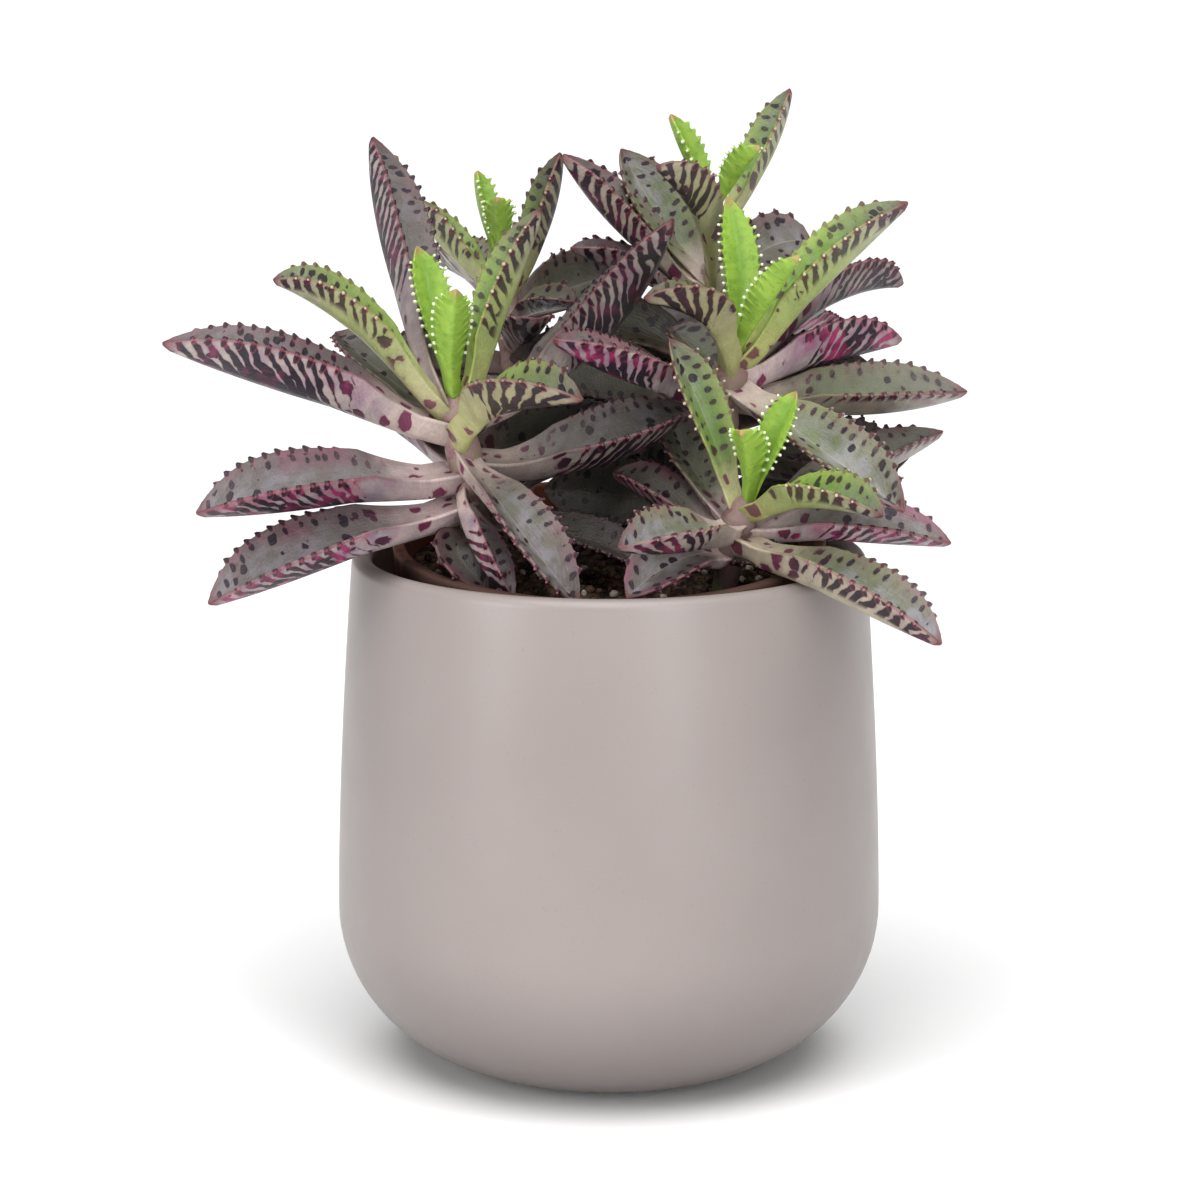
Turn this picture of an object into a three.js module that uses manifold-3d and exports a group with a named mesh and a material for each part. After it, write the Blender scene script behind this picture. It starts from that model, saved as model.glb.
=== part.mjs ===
// A pink butterflies kalanchoe in a terracotta-coloured nursery pot, which stands inside a ceramic pot.
// Units are millimetres, +Z is up, and the origin is the centre of the ceramic pot's flat foot.
// The front of the plant faces -Y.
import * as THREE from 'three';
import { mergeVertices } from 'three/addons/utils/BufferGeometryUtils.js';
import Module from 'manifold-3d';

const wasm = await Module();
wasm.setup();

// Ceramic pot
const POT_HEIGHT = 127;
const POT_MOUTH_RADIUS = 62;
const POT_BELLY_RADIUS = 66;
const POT_BELLY_HEIGHT = 40;
const POT_FOOT_RADIUS = 22;
const POT_WALL = 5;
const POT_LIP_RADIUS = POT_WALL / 2;
const POT_SIDES = 44;
const POT_ROUND_STEPS = 6;
const POT_INNER_STEPS = 3;
const POT_SIDE_STEPS = 2;
const POT_LIP_STEPS = 4;

// Nursery pot, which leans forward inside the ceramic pot. Its own origin is the centre of its foot.
const NURSERY_HEIGHT = 119.3;
const NURSERY_FOOT_RADIUS = 37;
const NURSERY_RIM_RADIUS = 52;
const NURSERY_WALL = 1.6;
const NURSERY_BAND_HEIGHT = 14;
const NURSERY_BAND_STEP = 1.4;
const NURSERY_LEAN = 6 * Math.PI / 180;
const NURSERY_FOOT_CENTRE = [0, 8.4, 12.2];
const NURSERY_SIDES = 32;
const NURSERY_DRAIN_RADIUS = 5;

// Potting mix, with heights above the nursery pot's foot
const SOIL_BOTTOM = 30;
const SOIL_TOP = 112.3;
const SOIL_LUMP = 1.6;
const SOIL_RINGS = 4;

// Leaves and stems
const GAP = 0.3;
const STEM_SIDES = 8;
const STEM_STEPS = 7;
const HEART_STEM_LENGTH = 3;
const HEART_TIP_RADIUS = 1.4;
const STALK_STEP_SHARE = 0.12;
const STALK_SHARE = 0.14;
const LAST_TOOTH_SHARE = 0.95;
const STALK_HALF_WIDTH_SHARE = 0.42;
const STALK_THICKNESS_SHARE = 0.65;
const BLADE_LEAST_THICKNESS = 1.2;
const BLADE_THICKNESS_SHARE = 0.3;
const TIP_THICKNESS = 1.1;
const TOOTH_REACH = 0.9;
const TOOTH_LEAN = 0.8;
const FIRST_TOOTH_SHARE = 0.3;

// Half the width of a blade along its length, as a share of its widest place
const BLADE_OUTLINE = [
  [0, 0.42], [0.12, 0.58], [0.28, 0.82], [0.45, 0.97], [0.6, 1], [0.76, 0.86], [0.91, 0.48], [1, 0.08],
];

// A leaf ends at tip. Its middle stands off the straight line from its foot by bow. width is half
// its widest place, fold is how steeply its two halves rise from the midrib, face is the way that its
// upper side looks, teeth is the number of steps along each margin, and stalk is the share of its
// length that has no blade.
function youngLeaf(bow, tip, width, fold, face, teeth, stalk = STALK_SHARE) {
  return { bow, tip, width, fold, face, teeth, stalk };
}

// An old leaf starts on its stem at a height above the foot of the pot.
function oldLeaf(height, ...values) {
  return { height, ...youngLeaf(...values) };
}

// Each leafy stem runs up from the soil through the points of its path, and carries its old leaves.
// The heart is the pair of young leaves at its tip.
const LEAFY_STEMS = {
  left: {
    path: [[-28, -14, 104], [-30, -20, 128], [-33, -24, 148], [-35, -24, 160], [-36, -24, 167]],
    radius: [3.6, 2.9],
    leaves: [
      oldLeaf(161, [0, -1, 0], [-103, -34, 182], 8.5, 1, [0, -0.1, 1], 12),
      oldLeaf(163, [-2, -1, 7], [-77, -36, 197], 6.5, 0.8, [0, -0.2, 1], 9),
      oldLeaf(164, [-4, 4, 2], [-56, 4, 226], 7.4, 1, [0.9, -0.4, 0.4], 10),
      oldLeaf(165, [0, -2, 1], [-16, -24, 212], 6.2, 0.8, [-1, -0.3, 0.4], 8),
      oldLeaf(158, [-7, -1, 4], [-6, -54, 172], 7.5, 0.9, [0, -0.2, 1], 9, 0.3),
      oldLeaf(156, [-2, -6, 3], [-7, -43, 122], 7, 0.7, [0.7, -0.8, 0.6], 9),
      oldLeaf(147, [-3, -3, 1], [-22, -40, 123], 5, 0.8, [1, -0.4, 0.4], 6),
      oldLeaf(151, [-1, -1, 0], [-95, -44, 144], 9.5, 0.8, [0, -0.3, 1], 10),
      oldLeaf(144, [-2, -1, 0], [-92, -50, 124], 8.8, 0.8, [0, -0.3, 1], 10),
      oldLeaf(160, [-1, 4, -1], [-66, 14, 178], 9, 0.7, [0, -0.2, 1], 5),
      oldLeaf(151, [1, 1, -1], [-62, 8, 166], 6.5, 0.6, [0, 0, 1], 4),
      oldLeaf(134, [-6, -3, 4], [-28, -35, 124], 6, 0.4, [0.4, -0.9, 1], 4),
      oldLeaf(164, [5, 3, -6], [15, -8, 208], 8.5, 0.9, [-0.4, 0.1, 1], 11),
      oldLeaf(154, [3, -2, -5], [20, -12, 164], 9, 0.8, [0, -0.3, 1], 9),
      oldLeaf(138, [1, 3, 1], [10, -30, 128], 7, 0.6, [0, -0.3, 1], 5),
      oldLeaf(156, [0, 3, 3], [-50, 38, 158], 8, 0.7, [0, 0, 1], 4),
      oldLeaf(141, [0, 3, 3], [-2, 2, 149], 7.5, 0.6, [0, -0.3, 1], 3),
      oldLeaf(154, [0, 1, 0], [-2, 6, 157], 9, 0.4, [0, -1, 0.4], 3),
    ],
    heart: [
      youngLeaf([0, 2, 1], [-45, -14, 202], 3.8, 0.6, [0.3, -1, 0.5], 6),
      youngLeaf([-1, 0, 1], [-35, -38, 195], 3.6, 0.7, [0, 1, 0.4], 5),
    ],
  },
  back_left: {
    path: [[-19, 12, 104], [-22, 22, 150], [-25, 27, 180], [-26, 29, 192]],
    radius: [3.2, 2.4],
    leaves: [
      oldLeaf(187, [-1, 2, -1], [-48, 28, 209], 5, 0.8, [0, -0.1, 1], 7),
      oldLeaf(186, [2, 2, -1], [-12, 28, 220], 5, 0.8, [-1, -0.4, 0.4], 7),
      oldLeaf(175, [0, 1, -2], [-17, 2, 183], 5.5, 0.6, [0, 0, 1], 4),
      oldLeaf(181, [-1, 1, 1], [-8, 17, 185], 5, 0.6, [0, -0.3, 1], 4),
      oldLeaf(180, [0, 2, 1], [2, 52, 187], 8, 0.5, [0, -1, 0.6], 4),
      oldLeaf(184, [0, 2, 3], [-46, 66, 190], 7.5, 0.7, [0, 0, 1], 5),
      oldLeaf(166, [0, 2, 4], [-66, 46, 160], 7.5, 0.7, [0, 0, 1], 5),
      oldLeaf(148, [0, 2, 4], [12, 12, 148], 8, 0.5, [0, -0.6, 1], 3),
      oldLeaf(157, [0, 3, -1], [1, 18, 153], 8, 0.5, [0, -0.6, 1], 3),
      oldLeaf(168, [0, 0, 2], [-50, 12, 170], 7, 0.5, [0, -0.8, 0.6], 3),
      oldLeaf(150, [0, 0, 1], [-42, 6, 146], 7, 0.5, [0, -1, 0.5], 3),
    ],
    heart: [
      youngLeaf([-1, 1, 1], [-32, 34, 215], 2.8, 0.7, [1, -0.6, 0.4], 4),
      youngLeaf([0, 0, 1], [-27, 20, 210], 2.8, 0.7, [0, 1, 0.4], 4),
    ],
  },
  top: {
    path: [[21, 13, 104], [24, 20, 150], [26, 24, 184], [26, 24, 207]],
    radius: [3.4, 2.4],
    leaves: [
      oldLeaf(187, [-1, 3, -3], [-11, 24, 220], 6.5, 0.9, [0, -0.2, 1], 8),
      oldLeaf(189, [-1, 2, -2], [3, 38, 220], 7, 0.7, [0.5, -1, 0.5], 9),
      oldLeaf(186, [4, -2, 4], [11, -4, 220], 5.2, 0.8, [0.2, 0.6, 1], 9, 0.32),
      oldLeaf(203, [2, 2, -1], [44, 34, 235], 4.8, 0.8, [-1, -0.6, 0.4], 8),
      oldLeaf(182, [0, 7, 1], [-9, 18, 198], 5.5, 0.7, [0, -0.2, 1], 7),
      oldLeaf(186, [0, 2, 4], [50, 40, 197], 7.5, 0.4, [0, -1, 0.8], 5),
      oldLeaf(192, [0, 3, 3], [30, 76, 190], 7.5, 0.7, [0, 0, 1], 6),
      oldLeaf(172, [0, 4, 4], [6, 78, 172], 8, 0.7, [0, 0, 1], 6),
      oldLeaf(178, [1, 2, 2], [58, 68, 167], 8, 0.7, [0, 0, 1], 6),
      oldLeaf(158, [0, 1, 3], [-24, 10, 172], 8.5, 0.4, [0, -1, 0.5], 3),
      oldLeaf(170, [0, 3, 1], [-10, 29, 179], 8.5, 0.5, [0, -0.6, 1], 3),
      oldLeaf(162, [0, 3, 0], [-12, 42, 168], 8.5, 0.4, [0, -1, 0.5], 3),
      oldLeaf(144, [0, 3, 0], [-12, 34, 146], 8.5, 0.4, [0, -1, 0.4], 3),
    ],
    heart: [
      youngLeaf([0, 0, -1], [15, 20, 230], 3.2, 0.7, [1, -0.6, 0.4], 5),
      youngLeaf([0, 0, 1], [36, 14, 223], 3.2, 0.7, [-0.6, 1, 0.6], 4),
    ],
  },
  right: {
    path: [[25, 1, 104], [27, -2, 146], [28, -4, 164], [29, -4, 174]],
    radius: [3.6, 2.8],
    leaves: [
      oldLeaf(172, [-1, 0, 1], [70, -10, 212], 7, 0.9, [-0.4, -0.3, 1], 10),
      oldLeaf(170, [6, -2, 5], [8, -22, 191], 6, 0.8, [0, 0, 1], 9, 0.3),
      oldLeaf(169, [0, -1, 0], [68, -41, 144], 7.5, 0.8, [0, -0.6, 1], 10),
      oldLeaf(167, [0, 2, -3], [86, 4, 165], 9, 0.7, [0, -0.3, 1], 9),
      oldLeaf(170, [0, 2, 1], [71, 16, 176], 7.5, 0.8, [0, 0.3, 1], 8),
      oldLeaf(172, [2, 5, 7], [72, 28, 188], 7.5, 0.7, [0, 0.2, 1], 7),
      oldLeaf(170, [1, 2, 3], [53, 30, 182], 5, 0.6, [0, 0, 1], 3),
      oldLeaf(165, [0, -2, -1], [-13, -34, 183], 6.5, 0.8, [0, -0.2, 1], 8),
      oldLeaf(166, [0, 0, 1], [15, 8, 180], 6.5, 0.6, [0, -0.2, 1], 4),
      oldLeaf(138, [0, 2, 0], [-16, 16, 139], 9, 0.4, [0, -1, 0.5], 4),
      oldLeaf(150, [0, 1, -1], [6, 3, 146], 7, 0.4, [0, -1, 0.5], 4),
      oldLeaf(159, [0, 3, 2], [66, 26, 166], 9, 0.4, [0, -1, 0.6], 4, 0.04),
      oldLeaf(150, [0, 2, -1], [74, 18, 148], 9, 0.4, [0, -1, 0.6], 5, 0.04),
      oldLeaf(138, [0, 2, 1], [58, 6, 139], 8, 0.4, [0, -1, 0.6], 3, 0.04),
    ],
    heart: [
      youngLeaf([3, 0, -1], [28, 3, 212], 3.8, 0.6, [0, -1, 0.4], 7),
      youngLeaf([0, 0, 1], [44, -22, 201], 3.4, 0.7, [-0.6, 1, 0.8], 5),
    ],
  },
  lower_right: {
    path: [[26, -18, 104], [27, -22, 120], [29, -26, 135], [32, -27, 143]],
    radius: [3.4, 2.6],
    leaves: [
      oldLeaf(140, [0, 0, 2], [14, -27, 182], 5, 0.8, [0.5, -1, 0.5], 9),
      oldLeaf(142, [-1, -2, 4], [62, -58, 146], 6, 0.8, [0, -0.2, 1], 8),
      oldLeaf(139, [2, -1, -1], [2, -54, 138], 7.5, 0.8, [0, -0.3, 1], 9),
      oldLeaf(136, [0, -3, 1.2], [75, -66, 118], 8, 0.8, [0, 0, 1], 10),
      oldLeaf(139, [1, 4, -1], [80, 0, 156], 7, 0.7, [0, -0.2, 1], 9),
      oldLeaf(138, [0, 2, 1], [80, -28, 134], 7.5, 0.7, [0, -0.3, 1], 8),
      oldLeaf(131, [0, -2, 4], [4, -43, 124], 7, 0.5, [0, -0.7, 1], 6),
      oldLeaf(129, [-1, 0, 2], [38, -30, 130], 6, 0.5, [0, -0.7, 1], 4),
      oldLeaf(138, [-2, 0, -1], [14, 0, 162], 5.5, 0.6, [0, -0.2, 1], 4),
      oldLeaf(134, [-2, 2, 2], [1, -12, 148], 6.5, 0.6, [0, -0.2, 1], 5),
    ],
    heart: [
      youngLeaf([0, -1, 1], [43, -36, 171], 3.4, 0.6, [-0.4, -1, 0.5], 6),
      youngLeaf([1, 0, 2], [30, -42, 163], 3.4, 0.7, [0.3, 1, 0.4], 3),
    ],
  },
};

// Turns a closed solid's points and triangles into a geometry.
function solidGeometry(points, faces) {
  const geometry = new THREE.BufferGeometry();
  geometry.setAttribute('position', new THREE.Float32BufferAttribute(points.flatMap((p) => p.toArray()), 3));
  geometry.setIndex(faces.flat());
  return geometry;
}

// Reads a geometry into a solid that can be joined and cut.
function toSolid(geometry) {
  const plain = geometry.clone();
  plain.deleteAttribute('normal');
  plain.deleteAttribute('uv');
  const merged = mergeVertices(plain, 1e-4);
  return new wasm.Manifold(new wasm.Mesh({
    numProp: 3,
    vertProperties: new Float32Array(merged.attributes.position.array),
    triVerts: new Uint32Array(merged.index.array),
  }));
}

// Reads a joined or cut solid back into a geometry.
function toGeometry(solid) {
  const mesh = solid.getMesh();
  const geometry = new THREE.BufferGeometry();
  geometry.setAttribute('position', new THREE.Float32BufferAttribute(mesh.vertProperties, 3));
  geometry.setIndex(new THREE.Uint32BufferAttribute(mesh.triVerts, 1));
  return geometry;
}

// Keeps the largest body of a solid, and drops loose scraps.
function largestBody(solid) {
  const bodies = solid.decompose();
  return bodies.reduce((best, body) => (body.volume() > best.volume() ? body : best));
}

// A value between stops, each a place and its value.
function between(stops, place) {
  const next = Math.max(1, stops.findIndex(([at]) => at >= place));
  const [fromPlace, fromValue] = stops[next - 1];
  const [toPlace, toValue] = stops[next];
  return THREE.MathUtils.mapLinear(place, fromPlace, toPlace, fromValue, toValue);
}

// A closed solid through rings of equally many points, with flat ends.
function loft(rings) {
  const count = rings[0].length;
  const points = rings.flat();
  const faces = [];
  for (let ring = 0; ring < rings.length - 1; ring += 1) {
    for (let side = 0; side < count; side += 1) {
      const here = ring * count + side;
      const beside = ring * count + (side + 1) % count;
      faces.push([here, beside, beside + count], [here, beside + count, here + count]);
    }
  }
  const last = points.length - count;
  for (let side = 1; side < count - 1; side += 1) {
    faces.push([0, side + 1, side], [last, last + side, last + side + 1]);
  }
  return solidGeometry(points, faces);
}

// The point of a stem's axis at a height.
function stemPoint(path, height) {
  const next = Math.max(1, path.findIndex(([, , z]) => z >= height));
  const [from, to] = [new THREE.Vector3(...path[next - 1]), new THREE.Vector3(...path[next])];
  return from.lerp(to, (height - from.z) / (to.z - from.z));
}

// A round stem through its points, with its radius going from the first value to the second.
function stemSolid(path, radius, spare = 0) {
  const curve = new THREE.CatmullRomCurve3(path.map((p) => new THREE.Vector3(...p)));
  const rings = [];
  for (let step = 0; step <= STEM_STEPS; step += 1) {
    const share = step / STEM_STEPS;
    const centre = curve.getPointAt(share);
    const along = curve.getTangentAt(share);
    const right = new THREE.Vector3(0, 1, 0).cross(along).normalize();
    const back = along.clone().cross(right);
    const size = THREE.MathUtils.lerp(radius[0], radius[1], share) + spare;
    rings.push(Array.from({ length: STEM_SIDES }, (_, side) => {
      const angle = 2 * Math.PI * side / STEM_SIDES;
      return centre.clone()
        .addScaledVector(right, size * Math.cos(angle))
        .addScaledVector(back, size * Math.sin(angle));
    }));
  }
  return toSolid(loft(rings));
}

// The cross-section of a leaf at a share of its length: margins, midrib and keel.
function leafRing(leaf, curve, share, spare) {
  const { stalk } = leaf;
  const bladeShare = Math.max(0, (share - stalk) / (1 - stalk));
  const outline = share < stalk ? 0 : between(BLADE_OUTLINE, bladeShare) * leaf.width;
  const halfWidth = Math.max(STALK_HALF_WIDTH_SHARE * leaf.width * (1 - bladeShare), outline) + spare;
  const bladeThickness = BLADE_LEAST_THICKNESS + BLADE_THICKNESS_SHARE * leaf.width;
  const thickness = THREE.MathUtils.lerp(
    THREE.MathUtils.lerp(STALK_THICKNESS_SHARE * leaf.width, bladeThickness, Math.min(1, 3 * bladeShare)),
    TIP_THICKNESS,
    bladeShare ** 3,
  ) + 2 * spare;
  const centre = curve.getPoint(share);
  const along = curve.getTangent(share);
  const face = new THREE.Vector3(...leaf.face);
  const up = face.addScaledVector(along, -face.dot(along)).normalize();
  const right = along.clone().cross(up);
  const rise = leaf.fold * Math.min(1, 0.25 + 3 * bladeShare);
  const place = (across, height) => centre.clone()
    .addScaledVector(right, across)
    .addScaledVector(up, height + spare);
  return {
    along,
    points: [
      place(-halfWidth, halfWidth * rise),
      place(0, 0),
      place(halfWidth, halfWidth * rise),
      place(0.6 * halfWidth, 0.6 * halfWidth * rise - 0.85 * thickness),
      place(0, -thickness),
      place(-0.6 * halfWidth, 0.6 * halfWidth * rise - 0.85 * thickness),
    ],
  };
}

// A folded fleshy blade on its short stalk, with a saw tooth for each step along both margins
// past the smooth part beside the stalk.
function leafSolid(leaf, base, spare = 0) {
  const tip = new THREE.Vector3(...leaf.tip);
  const middle = base.clone().lerp(tip, 0.5).addScaledVector(new THREE.Vector3(...leaf.bow), 2);
  const curve = new THREE.QuadraticBezierCurve3(base, middle, tip);
  const { stalk } = leaf;
  const shares = [];
  const stalkSteps = Math.max(1, Math.round(stalk / STALK_STEP_SHARE));
  for (let step = 0; step < stalkSteps; step += 1) {
    shares.push(stalk * step / stalkSteps);
  }
  for (let step = 0; step <= leaf.teeth; step += 1) {
    shares.push(THREE.MathUtils.lerp(stalk, LAST_TOOTH_SHARE, step / leaf.teeth));
  }
  const rings = shares.map((share) => leafRing(leaf, curve, share, spare));
  const points = rings.flatMap((ring) => ring.points);
  const faces = [];
  for (let step = 0; step < rings.length - 1; step += 1) {
    const near = (corner) => step * 6 + corner;
    const far = (corner) => (step + 1) * 6 + corner;
    const toothed = shares[step] > stalk + FIRST_TOOTH_SHARE * (1 - stalk);
    for (let corner = 0; corner < 6; corner += 1) {
      const beside = (corner + 1) % 6;
      const atMargin = [0, 2].includes(corner) || [0, 2].includes(beside);
      if (!toothed || !atMargin) {
        faces.push([near(corner), far(beside), far(corner)], [near(corner), near(beside), far(beside)]);
      }
    }
    if (toothed) {
      [0, 2].forEach((margin) => {
        const outward = rings[step].points[margin].clone().sub(rings[step].points[1]).normalize();
        const tooth = rings[step].points[margin].clone().lerp(rings[step + 1].points[margin], 0.6)
          .addScaledVector(outward, TOOTH_REACH).addScaledVector(rings[step].along, TOOTH_LEAN);
        const peak = points.push(tooth) - 1;
        const before = (margin + 5) % 6;
        const after = margin + 1;
        faces.push(
          [near(before), peak, far(before)],
          [near(before), near(margin), peak],
          [far(before), peak, far(margin)],
          [near(margin), near(after), peak],
          [peak, near(after), far(after)],
          [peak, far(after), far(margin)],
        );
      });
    }
  }
  const last = (rings.length - 1) * 6;
  const apex = points.push(tip.clone()) - 1;
  for (let side = 0; side < 6; side += 1) {
    faces.push([last + side, last + (side + 1) % 6, apex]);
  }
  for (let side = 1; side < 5; side += 1) {
    faces.push([0, side + 1, side]);
  }
  return toSolid(solidGeometry(points, faces));
}

// The pair of young leaves that grows from the tip of a stem.
function heartSolid(stem, spare = 0) {
  const end = new THREE.Vector3(...stem.path.at(-1));
  const along = end.clone().sub(new THREE.Vector3(...stem.path.at(-2))).normalize();
  const foot = end.clone().addScaledVector(along, GAP - spare);
  const bud = end.clone().addScaledVector(along, HEART_STEM_LENGTH);
  const base = end.clone().addScaledVector(along, 0.6 * HEART_STEM_LENGTH);
  const stalk = stemSolid([foot.toArray(), bud.toArray()], [stem.radius[1] - GAP, HEART_TIP_RADIUS], spare);
  return stem.heart.reduce((joined, leaf) => joined.add(leafSolid(leaf, base, spare)), stalk);
}

// A stem with its old leaves, cut back where the young leaves stand.
function leafyStemSolid(stem) {
  const leafy = stem.leaves.reduce(
    (joined, leaf) => joined.add(leafSolid(leaf, stemPoint(stem.path, leaf.height))),
    stemSolid(stem.path, stem.radius),
  );
  return largestBody(leafy.subtract(heartSolid(stem, GAP)));
}

// The outline of the ceramic pot, from its foot up its outside, over the lip and down its inside.
function ceramicPotProfile() {
  const outer = [];
  const inner = [];
  const round = (share, spare) => {
    const angle = share * Math.PI / 2;
    const radius = POT_FOOT_RADIUS + (POT_BELLY_RADIUS - POT_FOOT_RADIUS) * Math.sin(angle) - spare;
    return new THREE.Vector2(radius, POT_BELLY_HEIGHT - (POT_BELLY_HEIGHT - spare) * Math.cos(angle));
  };
  for (let step = 0; step <= POT_ROUND_STEPS; step += 1) {
    outer.push(round(step / POT_ROUND_STEPS, 0));
  }
  for (let step = 0; step <= POT_INNER_STEPS; step += 1) {
    inner.push(round(step / POT_INNER_STEPS, POT_WALL));
  }
  for (let step = 1; step <= POT_SIDE_STEPS; step += 1) {
    const share = step / POT_SIDE_STEPS;
    const height = THREE.MathUtils.lerp(POT_BELLY_HEIGHT, POT_HEIGHT - POT_LIP_RADIUS, share);
    const radius = THREE.MathUtils.lerp(POT_BELLY_RADIUS, POT_MOUTH_RADIUS, share ** 1.6);
    outer.push(new THREE.Vector2(radius, height));
    inner.push(new THREE.Vector2(radius - POT_WALL, height));
  }
  const lip = [];
  for (let step = 1; step < POT_LIP_STEPS; step += 1) {
    const angle = Math.PI * step / POT_LIP_STEPS;
    const across = POT_MOUTH_RADIUS - POT_LIP_RADIUS + POT_LIP_RADIUS * Math.cos(angle);
    lip.push(new THREE.Vector2(across, POT_HEIGHT - POT_LIP_RADIUS + POT_LIP_RADIUS * Math.sin(angle)));
  }
  const bottom = new THREE.Vector2(0, 0);
  const floor = new THREE.Vector2(0, POT_WALL);
  return [bottom, ...outer, ...lip, ...inner.reverse(), floor];
}

// The outline of the nursery pot, with a thicker band round its rim and a drain hole in its foot.
function nurseryPotProfile() {
  const slope = (NURSERY_RIM_RADIUS - NURSERY_BAND_STEP - NURSERY_FOOT_RADIUS) / NURSERY_HEIGHT;
  const wallRadius = (height) => NURSERY_FOOT_RADIUS + slope * height;
  const bandBottom = NURSERY_HEIGHT - NURSERY_BAND_HEIGHT;
  return [
    [NURSERY_DRAIN_RADIUS, 0],
    [wallRadius(0), 0],
    [wallRadius(bandBottom), bandBottom],
    [wallRadius(bandBottom) + NURSERY_BAND_STEP, bandBottom + 1],
    [NURSERY_RIM_RADIUS, NURSERY_HEIGHT],
    [wallRadius(NURSERY_HEIGHT) - NURSERY_WALL, NURSERY_HEIGHT],
    [wallRadius(NURSERY_WALL) - NURSERY_WALL, NURSERY_WALL],
    [NURSERY_DRAIN_RADIUS, NURSERY_WALL],
    [NURSERY_DRAIN_RADIUS, 0],
  ].map(([radius, height]) => new THREE.Vector2(radius, height));
}

// Turns a profile round the upright axis.
function turned(profile, sides) {
  const geometry = new THREE.LatheGeometry(profile, sides);
  geometry.rotateX(Math.PI / 2);
  return geometry;
}

// Stands a solid of the nursery pot where that pot leans inside the ceramic one.
function leaned(solid) {
  const place = new THREE.Matrix4().makeRotationX(NURSERY_LEAN);
  place.setPosition(...NURSERY_FOOT_CENTRE);
  return solid.transform(place.elements);
}

// The potting mix: a plug with a lumpy top, and a plain hole for each stem.
function soilSolid() {
  const innerRadius = (height) => NURSERY_FOOT_RADIUS - NURSERY_WALL - GAP
    + height * (NURSERY_RIM_RADIUS - NURSERY_BAND_STEP - NURSERY_FOOT_RADIUS) / NURSERY_HEIGHT;
  const points = [];
  const faces = [];
  const ring = (radius, height, lump) => {
    for (let side = 0; side < NURSERY_SIDES; side += 1) {
      const angle = 2 * Math.PI * side / NURSERY_SIDES;
      const bump = lump * (Math.sin(3.1 * angle + radius) + Math.cos(5 * angle - 0.7 * radius)) / 2;
      points.push(new THREE.Vector3(radius * Math.cos(angle), radius * Math.sin(angle), height + bump));
    }
  };
  points.push(new THREE.Vector3(0, 0, SOIL_BOTTOM));
  ring(innerRadius(SOIL_BOTTOM), SOIL_BOTTOM, 0);
  for (let step = SOIL_RINGS; step > 0; step -= 1) {
    ring(innerRadius(SOIL_TOP) * step / SOIL_RINGS, SOIL_TOP, step === SOIL_RINGS ? 0 : SOIL_LUMP);
  }
  const top = points.push(new THREE.Vector3(0, 0, SOIL_TOP)) - 1;
  for (let side = 0; side < NURSERY_SIDES; side += 1) {
    const beside = (side + 1) % NURSERY_SIDES;
    faces.push([0, 1 + beside, 1 + side]);
    for (let step = 0; step < SOIL_RINGS; step += 1) {
      const here = 1 + step * NURSERY_SIDES;
      const above = here + NURSERY_SIDES;
      faces.push([here + side, here + beside, above + beside], [here + side, above + beside, above + side]);
    }
    const inmost = 1 + SOIL_RINGS * NURSERY_SIDES;
    faces.push([inmost + side, inmost + beside, top]);
  }
  const plug = leaned(toSolid(solidGeometry(points, faces)));
  return Object.values(LEAFY_STEMS).reduce((soil, stem) => {
    const foot = new THREE.Vector3(...stem.path[0]);
    const deeper = foot.clone().addScaledVector(new THREE.Vector3(...stem.path[1]).sub(foot).normalize(), -GAP);
    return soil.subtract(stemSolid([deeper.toArray(), ...stem.path.slice(1)], stem.radius, GAP));
  }, plug);
}

function part(name, geometry, color, roughness) {
  const mesh = new THREE.Mesh(geometry, new THREE.MeshStandardMaterial({ color, roughness, metalness: 0 }));
  mesh.name = name;
  return mesh;
}

const plant = new THREE.Group();
plant.add(part('ceramic_pot', turned(ceramicPotProfile(), POT_SIDES), 0xafa5a0, 0.45));
const nurseryPot = leaned(toSolid(turned(nurseryPotProfile(), NURSERY_SIDES)));
plant.add(part('nursery_pot', toGeometry(nurseryPot), 0xb06a48, 0.6));
plant.add(part('potting_mix', toGeometry(soilSolid()), 0x2c2420, 0.95));
Object.entries(LEAFY_STEMS).forEach(([name, stem]) => {
  plant.add(part(`leafy_stem_${name}`, toGeometry(leafyStemSolid(stem)), 0x8a8f80, 0.55));
  plant.add(part(`young_leaves_${name}`, toGeometry(heartSolid(stem)), 0x7fb63c, 0.5));
});

export default plant;
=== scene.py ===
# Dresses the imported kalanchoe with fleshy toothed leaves, stems, two pots and potting mix,
# and sets up a pale studio and a camera.
import math
import random
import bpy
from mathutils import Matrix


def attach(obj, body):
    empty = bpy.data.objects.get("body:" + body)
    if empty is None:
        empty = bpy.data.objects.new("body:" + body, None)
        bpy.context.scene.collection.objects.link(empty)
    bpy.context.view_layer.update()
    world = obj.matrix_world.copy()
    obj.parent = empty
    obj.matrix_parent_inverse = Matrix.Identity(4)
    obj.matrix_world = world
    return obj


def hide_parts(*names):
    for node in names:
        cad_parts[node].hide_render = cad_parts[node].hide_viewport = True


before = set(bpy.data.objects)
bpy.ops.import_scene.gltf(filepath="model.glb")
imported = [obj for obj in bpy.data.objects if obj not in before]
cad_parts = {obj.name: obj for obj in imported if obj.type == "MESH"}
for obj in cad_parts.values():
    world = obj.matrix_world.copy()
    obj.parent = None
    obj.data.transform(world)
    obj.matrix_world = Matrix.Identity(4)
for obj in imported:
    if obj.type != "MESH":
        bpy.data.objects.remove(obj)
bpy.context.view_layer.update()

from types import SimpleNamespace

import bpy
import numpy as np

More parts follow.
